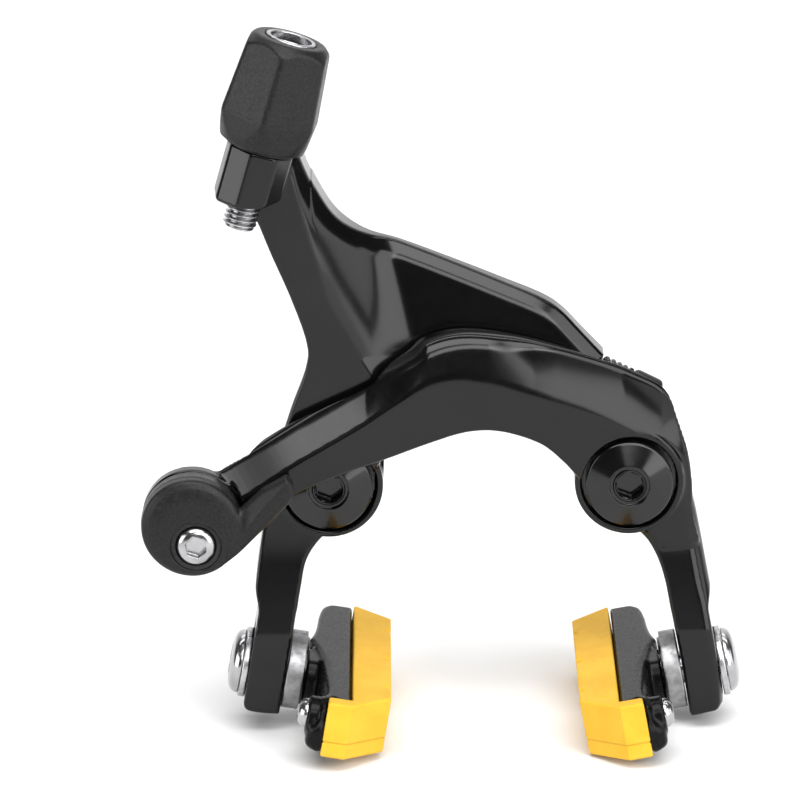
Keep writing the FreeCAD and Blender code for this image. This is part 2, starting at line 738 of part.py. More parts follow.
def dome(name, side, radius):
    item = doc.addObject("Part::Sphere", name)
    bind(item, Radius=radius)
    item.Placement = on_pad_bolt(side, size("pad_dome_reach"))
    return item


def make_concave_washer(side):
    name = "concave_washer_" + side
    blank = cylinder(name + "_blank", "pad_washer", 3.1, on_pad_bolt(side, 0.05))
    hole = cylinder(name + "_hole", "pad_bolt + 0.05", 6, on_pad_bolt(side, -1))
    return cut(name, blank, hole, dome(name + "_hollow", side, "pad_dome + 0.1"))


def make_convex_washer(side):
    name = "convex_washer_" + side
    blank = cylinder(name + "_blank", "convex_washer", "shoe_back - 0.35", on_pad_bolt(side, 0.3))
    common = doc.addObject("Part::Common", name + "_domed")
    common.Base = blank
    common.Tool = dome(name + "_dome", side, "pad_dome")
    return cut(name, common, cylinder(name + "_hole", "pad_bolt", 8, on_pad_bolt(side, -1)))


def make_pad_shoe(side):
    """Holder that the insert slides into, with round bosses for the bolt and the small screw."""
    way = INWARDS[side]
    depth = size("pad_depth")
    near = -size("pad_near") + depth
    far = size("pad_far") + depth
    body = new_body("pad_shoe_%s_blank" % side)

    def plan(points):
        return [(way * reach, along) for reach, along in points]

    outline = [("line", *plan([(11.7, near + 3.4), (7.3, near + 3.4), (7.3, near + 0.2),
                               (6.5, near + 1.0), (6.7, -18.0)])),
               ("curve", *plan([(6.7, -18.0), (6.2, -9.0), (5.5, 0.5), (3.8, 6.5)])),
               ("curve", *plan([(3.8, 6.5), (4.6, 11.0), (5.0, 15.0), (5.3, 20.5), (6.6, far - 1.2)])),
               ("line", *plan([(6.6, far - 1.2), (8.0, far), (11.7, far), (11.7, near + 3.4)]))]
    profile = sketch(body, "plan_outline_" + side, "XY_Plane", "pad_top - 0.4", outline)
    block = body.newObject("PartDesign::Pad", "shoe_block_" + side)
    block.Profile = profile
    block.Reversed = True
    bind(block, Length="pad_top + pad_bottom - 0.8")
    body.Placement = pad_frame(side)
    bolt_boss = cylinder("shoe_bolt_boss_" + side, "shoe_bolt_boss", "pad_base - shoe_back - 1",
                         on_pad_bolt(side, size("shoe_back"), -0.7))
    screw_boss = cylinder("shoe_screw_boss_" + side, "shoe_screw_boss", 2.9,
                          on_insert_screw(side, 4.35))
    blank = fuse("pad_shoe_%s_with_bosses" % side, body, bolt_boss, screw_boss)
    bolt_hole = cylinder("shoe_bolt_hole_" + side, "pad_bolt", 9, on_pad_bolt(side, 1))
    screw_hole = cylinder("shoe_screw_hole_" + side, "insert_screw", 8, on_insert_screw(side, 2))
    return cut("pad_shoe_" + side, blank, bolt_hole, screw_hole)


def make_pad_insert(side):
    """Friction block with bevelled ends, water grooves and a stop at its near end."""
    way = INWARDS[side]
    depth = size("pad_depth")
    near = -size("pad_near") + depth
    far = size("pad_far") + depth
    body = new_body("pad_insert_%s_blank" % side)
    base = size("pad_base")
    face = size("pad_face")
    grooves = [near + 11.8, near + 27.0, near + 42.8]
    points = [(base, near + 3.2), (7.6, near + 3.2), (7.5, near), (base, near), (face, near + 7.0)]
    for place in grooves:
        points += [(face, place), (face - 0.9, place + 0.5), (face - 0.9, place + 1.3), (face, place + 1.8)]
    points += [(face, far - 4.5), (base, far), (base, near + 3.2)]
    corners = [(way * reach, along) for reach, along in points]
    profile = sketch(body, "insert_plan_" + side, "XY_Plane", "pad_top", [("line", *corners)])
    block = body.newObject("PartDesign::Pad", "insert_block_" + side)
    block.Profile = profile
    block.Reversed = True
    bind(block, Length="pad_top + pad_bottom")
    body.Placement = pad_frame(side)
    hole = cylinder("insert_screw_hole_" + side, "insert_screw", 5, on_insert_screw(side, 5))
    return cut("pad_insert_" + side, body, hole)


def make_insert_screw(side):
    name = "insert_screw_" + side
    head = cylinder(name + "_head", "insert_screw_head", 2.0, on_insert_screw(side, 2.3))
    end = on_insert_screw(side, 2.3).Base
    head = chamfered(name + "_dome", head, 0.6, (end, size("insert_screw_head")))
    shank = cylinder(name + "_shank", "insert_screw", 5.5, on_insert_screw(side, 4.3))
    socket = prism(name + "_socket", 6, 1.3, 1.2, on_insert_screw(side, 2.3))
    return cut(name, fuse(name + "_blank", head, shank), socket)


# ------------------------------------------------------------------ export

def make_all():
    items = [make_back_plate()]
    for side, centre in (("left", LEFT), ("right", RIGHT)):
        items.append(make_pivot_bolt(side, centre))
        items.append(make_pivot_sleeve(side, centre))
        items.append(make_return_spring(side, centre))
    items.append(make_washer_pair("front_washers", "washer_outer", 3.1, 0.6, 13.85))
    items.append(make_washer_pair("back_washers", 6.6, 5.1, 0.5, 3.02))
    items.append(make_cable_arm())
    items.append(make_bush("cable_arm", LEFT))
    items.append(make_anchor_arm())
    items.append(make_bush("anchor_arm", RIGHT))
    items += [make_roller_pin(), make_roller()]
    items += [make_barrel_screw(), make_adjuster_knob(), make_adjuster_nut(), make_adjuster_washer()]
    items += [make_release_lever(), make_anchor_bolt(), make_release_clip(), make_cable_clamp(),
              make_clamp_nut(), make_bolt_gasket()]
    items += [make_stop_screw(), make_stop_cap(), make_stop_spring()]
    for side in ("left", "right"):
        items += [make_pad_bolt(side), make_flat_washer(side), make_concave_washer(side),
                  make_convex_washer(side), make_pad_shoe(side), make_pad_insert(side),
                  make_insert_screw(side)]
    return items


nodes = make_all()
doc.recompute()

broken = [item.Name for item in doc.Objects if {"Invalid", "Error"} & set(item.State)]
if broken:
    raise RuntimeError("did not build: " + ", ".join(broken))

os.makedirs("parts", exist_ok=True)
for item in nodes:
    item.Label = item.Name
    if item.Shape.isNull() or not item.Shape.isValid():
        raise RuntimeError("%s has no valid shape" % item.Name)
    item.Shape.exportStep("parts/%s.step" % item.Label)
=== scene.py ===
import json
import math

import bpy
import numpy as np
from mathutils import Matrix, Vector


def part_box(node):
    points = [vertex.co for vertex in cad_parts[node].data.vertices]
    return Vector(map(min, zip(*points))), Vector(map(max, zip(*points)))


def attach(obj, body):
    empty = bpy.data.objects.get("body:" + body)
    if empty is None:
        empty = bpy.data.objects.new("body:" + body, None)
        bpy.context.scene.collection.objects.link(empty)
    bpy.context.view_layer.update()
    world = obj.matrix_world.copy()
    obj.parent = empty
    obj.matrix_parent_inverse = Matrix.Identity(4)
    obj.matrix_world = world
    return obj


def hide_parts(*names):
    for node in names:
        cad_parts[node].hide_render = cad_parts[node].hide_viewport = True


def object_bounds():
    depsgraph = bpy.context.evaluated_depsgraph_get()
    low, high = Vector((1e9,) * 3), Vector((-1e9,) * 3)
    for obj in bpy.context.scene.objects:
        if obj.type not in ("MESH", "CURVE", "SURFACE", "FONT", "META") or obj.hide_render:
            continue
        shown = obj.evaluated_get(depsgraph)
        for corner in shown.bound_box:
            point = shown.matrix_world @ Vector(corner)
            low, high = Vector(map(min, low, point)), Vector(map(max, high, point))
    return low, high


# Looks of a direct-mount rim brake caliper.
# Shapes are signed distances in millimetres, below zero inside, and turned into metres at the end:
# x to the right, y backwards, z up, origin midway between the two pivots.

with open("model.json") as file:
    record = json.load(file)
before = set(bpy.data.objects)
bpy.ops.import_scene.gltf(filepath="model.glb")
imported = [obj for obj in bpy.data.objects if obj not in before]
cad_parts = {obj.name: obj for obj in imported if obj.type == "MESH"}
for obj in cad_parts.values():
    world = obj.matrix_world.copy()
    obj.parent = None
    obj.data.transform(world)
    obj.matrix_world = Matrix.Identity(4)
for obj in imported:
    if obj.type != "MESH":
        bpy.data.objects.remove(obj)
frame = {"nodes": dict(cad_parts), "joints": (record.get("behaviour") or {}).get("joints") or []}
cad_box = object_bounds()
nodes = frame["nodes"]
MM = 0.001


def joint_line(name):
    """Place and direction of a joint, in millimetres."""
    joint = next(j for j in frame["joints"] if j["name"] == name)
    place = np.array(joint.get("pos_m", (0, 0, 0))) / MM
    direction = np.array(joint["axis"], float)
    return place, direction / np.linalg.norm(direction)


def box(node):
    low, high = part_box(node)
    return np.array(low) / MM, np.array(high) / MM


LEFT_PIVOT, _ = joint_line("cable_arm_pivot")
RIGHT_PIVOT, _ = joint_line("anchor_arm_pivot")
LEVER_CENTRE, _ = joint_line("release_turn")
ROLLER_CENTRE, _ = joint_line("roller_spin")
KNOB_CENTRE, ADJUSTER_AXIS = joint_line("knob_turn")
STOP_FOOT, STOP_AXIS = joint_line("stop_screw_turn")

# Grid cells that the surfaces are worked out on.
ARM_CELL = 0.38
PART_CELL = 0.3
FINE_CELL = 0.2
THREAD_CELL = 0.17


# ------------------------------------------------------------ surface tools

def spline(points, steps=10):
    """Points along a smooth curve through all the given points."""
    points = np.array(points, float)
    ends = np.vstack([2 * points[0] - points[1], points, 2 * points[-1] - points[-2]])
    made = []
    for before, start, end, after in zip(ends, ends[1:], ends[2:], ends[3:]):
        for t in np.arange(steps) / steps:
            made.append(0.5 * (2 * start + (end - before) * t
                               + (2 * before - 5 * start + 4 * end - after) * t * t
                               + (3 * start - before - 3 * end + after) * t ** 3))
    return np.array(made + [points[-1]])


def outline(*stretches):
    """Closed outline; a stretch is ("line", points...) or ("curve", points...)."""
    made = []
    for kind, *points in stretches:
        made.extend(spline(points) if kind == "curve" else np.array(points, float))
    made = np.array(made)
    apart = np.linalg.norm(made - np.roll(made, 1, 0), axis=1) > 1e-6
    return made[apart]


def arc(centre, radius, start, end, steps=24):
    turns = np.radians(np.linspace(start, end, steps))
    return [(centre[0] + radius * math.cos(t), centre[1] + radius * math.sin(t)) for t in turns]


def inside_outline(shape, u, v):
    """Signed distance to a closed outline, below zero inside it."""
    u, v = np.broadcast_arrays(u, v)
    nearest = np.full(u.shape, np.inf)
    within = np.zeros(u.shape, bool)
    for (ua, va), (ub, vb) in zip(shape, np.roll(shape, -1, 0)):
        du, dv = ub - ua, vb - va
        along = np.clip(((u - ua) * du + (v - va) * dv) / (du * du + dv * dv), 0, 1)
        away = (u - ua - along * du) ** 2 + (v - va - along * dv) ** 2
        nearest = np.minimum(nearest, away)
        if va != vb:
            crosses = (v < va) != (v < vb)
            within ^= crosses & (u < ua + (v - va) / dv * du)
    return np.sqrt(nearest) * np.where(within, -1, 1)


class Plan:
    """Signed distance to an outline, worked out once on a grid and then read smoothly."""

    def __init__(self, *stretches, step=0.3, margin=8.0):
        shape = outline(*stretches)
        self.step = step
        self.low = shape.min(0) - margin
        size = np.ceil((shape.max(0) + margin - self.low) / step).astype(int) + 1
        self.last = size - 3
        u, v = [self.low[k] + step * np.arange(size[k]) for k in range(2)]
        self.table = inside_outline(shape, u[:, None], v[None, :])

    def __call__(self, u, v):
        index, weights = [], []
        for value, low, last in zip((u, v), self.low, self.last):
            place = np.clip((value - low) / self.step, 1, last)
            cell = np.minimum(place.astype(int), int(last) - 1)
            t = place - cell
            index.append(cell)
            weights.append((0.5 * t * (t * (2 - t) - 1), 0.5 * (t * t * (3 * t - 5) + 2),
                            0.5 * t * (t * (4 - 3 * t) + 1), 0.5 * t * t * (t - 1)))
        total = 0.0
        for shift_u, weight_u in enumerate(weights[0], start=-1):
            row = 0.0
            for shift_v, weight_v in enumerate(weights[1], start=-1):
                row = row + weight_v * self.table[index[0] + shift_u, index[1] + shift_v]
            total = total + weight_u * row
        return total


def join(a, b, radius=0.01):
    """Both shapes together, with a fillet where they meet."""
    overlap = np.maximum(radius - np.abs(a - b), 0) / radius
    return np.minimum(a, b) - overlap * overlap * radius / 4


def meet(a, b, radius=0.01):
    """What the two shapes share, with its edges rounded."""
    return -join(-a, -b, radius)


def carve(a, b, radius=0.01):
    """The first shape without the second."""
    return meet(a, -b, radius)


def smooth_step(value, start, end):
    t = np.clip((value - start) / (end - start), 0, 1)
    return t * t * (3 - 2 * t)


def rod(x, y, z, centre, radius, front=-99.0, back=99.0):
    """Round bar along y."""
    around = np.sqrt((x - centre[0]) ** 2 + (z - centre[-1]) ** 2) - radius
    return np.maximum(around, np.maximum(front - y, y - back))


class Local:
    """A straight frame of its own: its place, and the directions of its three axes."""

    def __init__(self, place, *axes):
        self.place = np.array(place, float)
        self.axes = np.array(axes, float)

    def coordinates(self, x, y, z):
        x, y, z = x - self.place[0], y - self.place[1], z - self.place[2]
        return [x * axis[0] + y * axis[1] + z * axis[2] for axis in self.axes]


# u points to the front, v to the right and the last axis up the adjuster, from the knob's lower end.
KNOB_BASE = KNOB_CENTRE - 4.1 * ADJUSTER_AXIS
ADJUSTER = Local(KNOB_BASE, (0, -1, 0), np.cross(ADJUSTER_AXIS, (0, -1, 0)), ADJUSTER_AXIS)
STOP = Local(STOP_FOOT, (0, 1, 0), np.cross(STOP_AXIS, (0, 1, 0)), STOP_AXIS)


def crossings(value, axes, direction):
    """Grid edges along one direction that the surface cuts: lower ends and cutting points."""
    lower = [slice(None)] * 3
    upper = [slice(None)] * 3
    lower[direction] = slice(None, -1)
    upper[direction] = slice(1, None)
    first, second = value[tuple(lower)], value[tuple(upper)]
    found = np.argwhere((first < 0) != (second < 0))
    a, b = first[tuple(found.T)], second[tuple(found.T)]
    points = np.stack([axes[k][found[:, k]] for k in range(3)], 1)
    step = axes[direction][1] - axes[direction][0]
    points[:, direction] += step * a / (a - b)
    return found, points, a < 0


def surface(field, low, high, cell):
    """Quads on the zero level of a field: one point in each grid cell that the surface crosses."""
    axes = [np.arange(a, b + cell, cell) for a, b in zip(low, high)]
    grid = np.meshgrid(*axes, indexing="ij", sparse=True)
    value = np.ascontiguousarray(np.broadcast_to(field(*grid), [len(a) for a in axes]))
    keys, places, corners = [], [], []
    for direction in range(3):
        second, third = (direction + 1) % 3, (direction + 2) % 3
        found, points, leaving = crossings(value, axes, direction)
        ring = []
        for shift_second, shift_third in ((-1, -1), (0, -1), (0, 0), (-1, 0)):
            cells = found.copy()
            cells[:, second] += shift_second
            cells[:, third] += shift_third
            ring.append(np.ravel_multi_index(tuple(cells.T), value.shape))
            keys.append(ring[-1])
            places.append(points)
        quad = np.stack(ring, 1)
        quad[~leaving] = quad[~leaving][:, ::-1]
        corners.append(quad)
    keys, places = np.concatenate(keys), np.concatenate(places)
    cells, index = np.unique(keys, return_inverse=True)
    count = np.bincount(index)
    points = np.stack([np.bincount(index, places[:, k]) / count for k in range(3)], 1)
    faces = np.searchsorted(cells, np.concatenate(corners))
    return points, faces


def slopes(field, points, reach):
    """Value and gradient of a field at points."""
    x, y, z = points.T
    value = field(x, y, z)
    gradient = np.stack([field(x + reach, y, z) - field(x - reach, y, z),
                         field(x, y + reach, z) - field(x, y - reach, z),
                         field(x, y, z + reach) - field(x, y, z - reach)], 1) / (2 * reach)
    return value, gradient


def sculpt(name, field, low, high, cell=0.4, local=None):
    """A mesh object on the zero level of a field, with its true normals."""
    points, faces = surface(field, low, high, cell)
    for _ in range(2):
        value, gradient = slopes(field, points, 0.05)
        steep = np.maximum((gradient ** 2).sum(1), 0.05)
        move = -(value / steep)[:, None] * gradient
        length = np.linalg.norm(move, axis=1, keepdims=True)
        points = points + move * np.minimum(1, 0.5 * cell / np.maximum(length, 1e-9))
    _, gradient = slopes(field, points, 0.12)
    normals = gradient / np.maximum(np.linalg.norm(gradient, axis=1, keepdims=True), 1e-9)
    if local is not None:
        points, normals = local.place + points @ local.axes, normals @ local.axes
        if np.linalg.det(local.axes) < 0:
            faces = faces[:, ::-1]
    mesh = bpy.data.meshes.new(name)
    mesh.from_pydata((points * MM).tolist(), [], faces.tolist())
    mesh.polygons.foreach_set("use_smooth", np.ones(len(faces), bool))
    mesh.normals_split_custom_set_from_vertices(normals.tolist())
    made = bpy.data.objects.new(name, mesh)
    bpy.context.scene.collection.objects.link(made)
    return made


# ------------------------------------------------------------ pads' frames

SIDES = {"left": 1, "right": -1}


def pad_frame(side):
    """Reach towards the rim, depth backwards, rise up the slot."""
    place, towards_rim = joint_line(side + "_pad_swivel")
    return Local(place, towards_rim, (0, 1, 0), np.cross(towards_rim, (0, 1, 0)) * SIDES[side])


PADS = {side: pad_frame(side) for side in SIDES}


def pad_slot(side, x, y, z):
    """Slot for the pad bolt and the two flat seats across one foot."""
    reach, depth, rise = PADS[side].coordinates(x, y, z)
    along = rise - np.clip(rise, -1.1, 5.1)
    slot = np.sqrt(depth ** 2 + along ** 2) - 3.1
    near_foot = np.maximum(np.abs(depth) - 10.0, np.abs(rise - 5.0) - 16.0)
    seat = np.maximum(0.5 * meet(0.0, rise - 13.0, 0.8) - reach, near_foot)
    outside = np.maximum(reach + 6.8 + 0.35 * meet(0.0, rise - 12.2, 0.8), near_foot)
    return np.minimum(slot, np.minimum(seat, outside))


# --------------------------------------------------------------- the arms

HUB_RECESS = 8.6
HUB_RIM = 9.8
HUB_FRONT = -15.2
HUB_FLOOR = -13.2
HUB_BACK = -3.1
BUSH = 6.0
SPRING_ROOM = (6.9, 9.3, -7.3)


def cut_hub(body, x, y, z, pivot):
    around = np.sqrt((x - pivot[0]) ** 2 + (z - pivot[2]) ** 2)
    recess = np.maximum(around - HUB_RECESS, y - HUB_FLOOR)
    inner, outer, bottom = SPRING_ROOM
    spring_room = np.maximum(np.maximum(inner - around, around - outer), bottom - y)
    body = carve(body, recess, 0.5)
    return carve(carve(body, around - BUSH, 0.3), spring_room, 0.2)


LEVER_PLACE = (LEVER_CENTRE[0], LEVER_CENTRE[2])

ARCH = Plan(
    ("curve", (-52.0, -8.3), (-42.0, -3.6), (-33.9, 0.8), (-24.7, 4.4), (-17.4, 6.6), (-8.7, 9.4),
     (-2.0, 11.1), (4.0, 10.9), (10.8, 8.4), (15.0, 4.8), (17.6, 1.6)),
    ("line", (17.6, 1.6), (21.0, -3.0), (27.0, -7.6), (33.4, -12.6), (40.0, -12.0)),
    ("curve", (40.3, -12.0), (39.4, -5.5), (38.5, 0.5), (37.5, 6.5), (36.5, 11.0), (35.0, 14.8),
     (32.8, 17.4), (29.0, 19.6), (21.6, 22.9), (9.1, 27.0), (-2.0, 28.8), (-9.0, 27.6),
     (-12.6, 25.0), (-17.6, 22.7), (-21.1, 20.8), (-33.5, 13.2), (-43.9, 6.6), (-52.0, 1.6)))

# Below this line the arch's front is one flat face; above it the face leans back.
CREASE = Plan(
    ("curve", (-52.0, -3.0), (-43.9, 0.2), (-33.5, 6.5), (-28.2, 9.4), (-21.1, 13.3), (-17.4, 15.6),
     (-14.0, 17.7), (-10.5, 19.7), (-7.0, 20.9), (-3.4, 21.2), (0.0, 20.6), (3.6, 19.8),
     (12.5, 16.8), (21.4, 13.3), (28.5, 9.3), (31.2, 7.2), (34.2, 5.0), (35.8, 2.0), (36.5, -3.0),
     (37.4, -9.5), (39.0, -19.0), (40.2, -24.0), (41.3, -31.0), (42.3, -38.0), (43.2, -50.0)),
    ("line", (43.2, -50.0), (-80.0, -50.0), (-80.0, -14.0), (-52.0, -3.0)))

ANCHOR_LEG = Plan(
    ("curve", (17.4, 5.2), (17.2, 2.2), (18.3, -0.8), (20.2, -4.6), (22.8, -7.0), (27.6, -9.2),
     (30.3, -11.6), (32.2, -15.0), (33.5, -19.0), (34.6, -24.7), (36.6, -35.0), (38.0, -44.0)),
    ("curve", (38.0, -44.0), (38.6, -44.6), (41.0, -44.1), (43.0, -43.6), (44.2, -42.6)),
    ("curve", (44.2, -42.6), (44.2, -36.0), (43.7, -31.5), (43.0, -27.4), (42.2, -22.5),
     (41.2, -17.0), (40.3, -12.0), (39.0, -5.5), (37.2, 0.5), (34.8, 5.0)),
    ("line", *arc((27.0, 0.0), 9.6, 50, 150)))

EYE_FRONT = -24.2
EYE_BACK = -21.2
EYE_BORE = 7.0
PIN_BORE = 1.52
ARM_FRONT = -15.6
ARM_SLOPE = 0.149
ARCH_BULGE = 0.7


def arch_front(x):
    """Depth of the flat front face, which comes forward in one plane towards the lever."""
    return ARM_FRONT - ARM_SLOPE * (RIGHT_PIVOT[0] - x) - ARCH_BULGE * smooth_step(x, -8.0, 14.0)


def arm_front(x, z):
    """Front of the whole right arm: the arch's face, falling back below the hub to the leg's."""
    down = smooth_step(-z, -6.0, 17.0) * smooth_step(x, 10.0, 20.0)
    return arch_front(x) * (1 - down) + leg_front(z) * down


def arch_back(x):
    """Depth of the back of the arch and bar: further forward where the other arm's column stands."""
    places = (-41.0, -38.5, -18.5, -11.0, 22.0, 26.0)
    return np.interp(x, places, (-21.2, -18.7, -18.7, -13.6, -13.6, -12.6))


FOOT_FRONT = -16.0
FOOT_TOP = -28.5
LEG_LEAN = 0.165
LEG_FRONT = -12.3


def leg_front(z):
    """Depth of a leg's front: upright at the foot, then leaning back up to the hub."""
    return join(meet(FOOT_FRONT, FOOT_FRONT + LEG_LEAN * (z - FOOT_TOP), 0.1), LEG_FRONT, 1.5)


def leg_back(z):
    """Depth of a leg's back: the feet reach further backwards than the hubs."""
    return np.interp(z, (-45.0, -27.0, -18.0), (-2.0, -2.0, HUB_BACK))


def hub(x, y, z, pivot):
    return meet(rod(x, y, z, pivot, HUB_RIM), np.maximum(HUB_FRONT - y, y - HUB_BACK), 0.4)


def leaning_front(x, y, z, above):
    """Front of the arch and bar: flat below the crease, leaning back above it."""
    lean = np.interp(x, (-20.0, -9.0, 2.0, 10.0, 26.0, 33.0, 37.0),
                     (0.75, 0.30, 0.26, 0.34, 0.34, 0.30, 0.50))
    highest = np.interp(x, (-10.0, 10.0, 26.0, 33.0), (20.0, 7.0, 7.0, 5.5))
    front = arm_front(x, z)
    fall = lean * join(above, highest, 4.0)
    return meet(front - y, (front + fall - y) / np.sqrt(1 + lean * lean), 0.35)


def top_rounding(x, above):
    """Edge radius round the arch: small below the crease, wide on the top except at both ends."""
    wide = smooth_step(above, 1.0, 5.0) * smooth_step(x, -46.0, -24.0)
    return 0.7 + 2.2 * wide * (1 - 0.8 * smooth_step(x, 4.0, 16.0))


def anchor_arm(x, y, z):
    """The arm on the right pivot: arch and bar in front, leg down to the right pad."""
    above = CREASE(x, z)
    arch = meet(ARCH(x, z), leaning_front(x, y, z, above), top_rounding(x, above))
    arch = meet(arch, y - arch_back(x), 0.5)
    front = leg_front(z)
    front = meet(front - y, (front + 0.6 * (above - 0.2) - y) / 1.17, 0.35)
    leg = meet(ANCHOR_LEG(x, z), front, 0.6 + 1.2 * smooth_step(above, 0.0, 1.5))
    leg = meet(leg, y - leg_back(z), 0.8)
    body = join(join(arch, leg, 1.2), hub(x, y, z, RIGHT_PIVOT), 0.8)
    eye = meet(rod(x, y, z, LEVER_PLACE, 8.9), np.maximum(EYE_FRONT - y, y - EYE_BACK), 0.5)
    body = join(body, eye, 0.6)
    body = carve(body, rod(x, y, z, LEVER_PLACE, 9.5, back=EYE_FRONT), 0.5)
    body = carve(body, rod(x, y, z, LEVER_PLACE, EYE_BORE), 0.3)
    body = cut_hub(body, x, y, z, RIGHT_PIVOT)
    body = carve(body, rod(x, y, z, ROLLER_CENTRE, PIN_BORE, front=-16.0), 0.1)
    return carve(body, pad_slot("right", x, y, z), 0.3)


WING = Plan(
    ("line", (-32.0, 50.0), (-26.0, 24.0), (-24.0, 12.0)),
    ("curve", (-24.0, 9.0), (-19.0, 9.0), (-14.0, 11.0), (-7.0, 13.2), (0.0, 13.4), (7.0, 11.2),
     (12.0, 10.8)),
    ("curve", (12.0, 10.8), (16.8, 13.2), (20.2, 17.2), (22.7, 22.4)),
    ("curve", (22.7, 22.4), (18.6, 26.8), (15.1, 30.5), (11.5, 32.9), (4.3, 36.0), (-4.6, 39.7),
     (-13.5, 43.2), (-19.0, 44.9), (-23.0, 47.3), (-26.0, 50.5), (-29.3, 56.4)))

COLUMN = Plan(
    ("curve", (-41.6, 58.0), (-39.6, 52.0), (-36.6, 44.0), (-33.2, 35.7), (-30.6, 27.4), (-30.7, 22.5),
     (-33.5, 14.8), (-36.0, 7.0), (-37.6, 1.0)),
    ("line", (-37.6, 1.0), (-20.0, 1.0)),
    ("curve", (-20.0, 1.0), (-10.0, 18.0), (-11.0, 30.0), (-15.5, 39.5), (-20.5, 44.2),
     (-23.8, 46.8), (-26.6, 50.4), (-29.5, 56.6), (-31.4, 61.6)),
    ("line", (-31.4, 61.6), (-38.0, 63.6)))

# The ridge down the column: left of it one face, right of it another that falls to the wing.
RIDGE = Plan(
    ("curve", (-40.0, 66.0), (-36.4, 54.0), (-33.0, 46.4), (-29.6, 40.0), (-26.0, 33.0),
     (-21.6, 25.0), (-17.6, 18.4), (-14.0, 12.0), (-8.0, 2.0)),
    ("line", (-8.0, 2.0), (-80.0, 2.0), (-80.0, 66.0)))

CABLE_LEG = Plan(
    ("curve", (-33.0, 12.0), (-35.4, 6.0), (-37.4, -1.0), (-39.5, -11.7), (-40.9, -22.2),
     (-42.0, -32.0), (-43.3, -41.2)),
    ("curve", (-43.3, -41.2), (-42.4, -42.6), (-39.6, -43.2), (-36.6, -43.4)),
    ("curve", (-36.6, -43.4), (-35.9, -39.6), (-34.4, -32.0), (-32.4, -20.0), (-30.9, -14.0),
     (-27.0, -9.4), (-21.0, -6.2), (-18.0, -1.0), (-17.0, 4.0), (-19.0, 9.0), (-24.0, 13.0)))

WING_FRONT = -13.0
WING_BACK = -5.0
WING_LEAN = 0.15
WING_BEVEL = 2.3
COLUMN_FRONT = -16.5


def facets(u, v, count, flat, turn=0.0, radius=0.01):
    """Section with equal straight sides, and rounded corners where a radius is given."""
    angles = [math.radians(360 / count * step + turn) for step in range(count)]
    sides = [u * math.cos(angle) + v * math.sin(angle) - flat for angle in angles]
    section = sides[0]
    for side in sides[1:]:
        section = meet(section, side, radius)
    return section


def adjuster_boss(x, y, z):
    """Short faceted collar that the adjuster screws through."""
    u, v, along = ADJUSTER.coordinates(x, y, z)
    sides = facets(u, v, 8, 5.7, 8.0, 0.5)
    lower = (-along - 9.9 + 0.2 * (v - u)) / 1.04
    return meet(sides, meet(along + 0.6, lower, 0.5), 0.8)


def column_and_wing(x, y, z):
    """Ridged column, and the wing that it falls away to; the wing's edge is bevelled."""
    right_of_ridge = RIDGE(x, z)
    past_ridge = np.maximum(right_of_ridge, 0)
    wing_front = WING_FRONT + WING_LEAN * np.maximum(z - 17.0, 0)
    face = COLUMN_FRONT - WING_LEAN * np.maximum(z - 24.0, 0)
    fall = (face + 0.50 * right_of_ridge + 0.03 * past_ridge ** 2 - y) / 1.2
    column = meet(meet(face - y, fall, 0.35), arch_back(x) + 0.5 - y, 0.5)
    front = join(wing_front - y, column, 3.5)
    outside = join(WING(x, z), COLUMN(x, z), 0.3)
    bevel = WING_BEVEL * smooth_step(right_of_ridge, 1.0, 5.0)
    body = meet(meet(outside, front, 0.6), (0.6 * (outside + bevel) + front) / 1.17, 0.5)
    body = meet(body, y - WING_BACK, 0.6)
    # The back slopes forward towards the column's lower left edge only.
    elsewhere = 40 * smooth_step(z, 24.0, 34.0) + 40 * smooth_step(x, -26.0, -20.0)
    return meet(body, (y + 13.5 + 1.6 * outside - elsewhere) / 1.9, 0.6)


def cable_arm(x, y, z):
    """The arm on the left pivot: boss, column and wing above, leg down to the left pad."""
    leg = meet(CABLE_LEG(x, z), leg_front(z) - y, 0.7)
    leg = meet(leg, y - leg_back(z), 0.8)
    body = join(column_and_wing(x, y, z), join(leg, hub(x, y, z, LEFT_PIVOT), 0.8), 1.2)
    body = join(body, adjuster_boss(x, y, z), 1.2)
    u, v, along = ADJUSTER.coordinates(x, y, z)
    around = np.sqrt(u * u + v * v)
    body = carve(body, around - 3.06, 0.2)
    body = carve(body, np.maximum(around - 9.6, -along - 0.6), 0.2)
    body = cut_hub(body, x, y, z, LEFT_PIVOT)
    body = carve(body, roller_slot(x, y, z), 0.1)
    body = carve(body, stop_hole(x, y, z), 0.2)
    return carve(body, pad_slot("left", x, y, z), 0.3)


ROLLER_RADIUS = 3.0
ROLLER_GAP = 0.15
FULL_CLOSING = 14.0


def roller_slot(x, y, z):
    """Path of the roller through the wing as both arms close by the same angle."""
    reach = np.full(np.broadcast(x, z).shape, np.inf)
    for angle in np.radians(np.linspace(-1.0, FULL_CLOSING + 1.0, 9)):
        across = ROLLER_CENTRE[0] - RIGHT_PIVOT[0]
        up = ROLLER_CENTRE[2]
        rolled = (RIGHT_PIVOT[0] + across * math.cos(angle) + up * math.sin(angle),
                  up * math.cos(angle) - across * math.sin(angle))
        across = rolled[0] - LEFT_PIVOT[0]
        seen = (LEFT_PIVOT[0] + across * math.cos(angle) + rolled[1] * math.sin(angle),
                rolled[1] * math.cos(angle) - across * math.sin(angle))
        reach = np.minimum(reach, np.sqrt((x - seen[0]) ** 2 + (z - seen[1]) ** 2))
    return np.broadcast_to(reach - ROLLER_RADIUS - ROLLER_GAP, np.broadcast(x, y, z).shape)


def stop_hole(x, y, z):
    """Hole for the stop screw, and the flat that its spring stands on."""
    u, v, along = STOP.coordinates(x, y, z)
    around = np.sqrt(u * u + v * v)
    return np.minimum(np.maximum(around - 1.95, -9.0 - along), np.maximum(around - 3.4, -along))


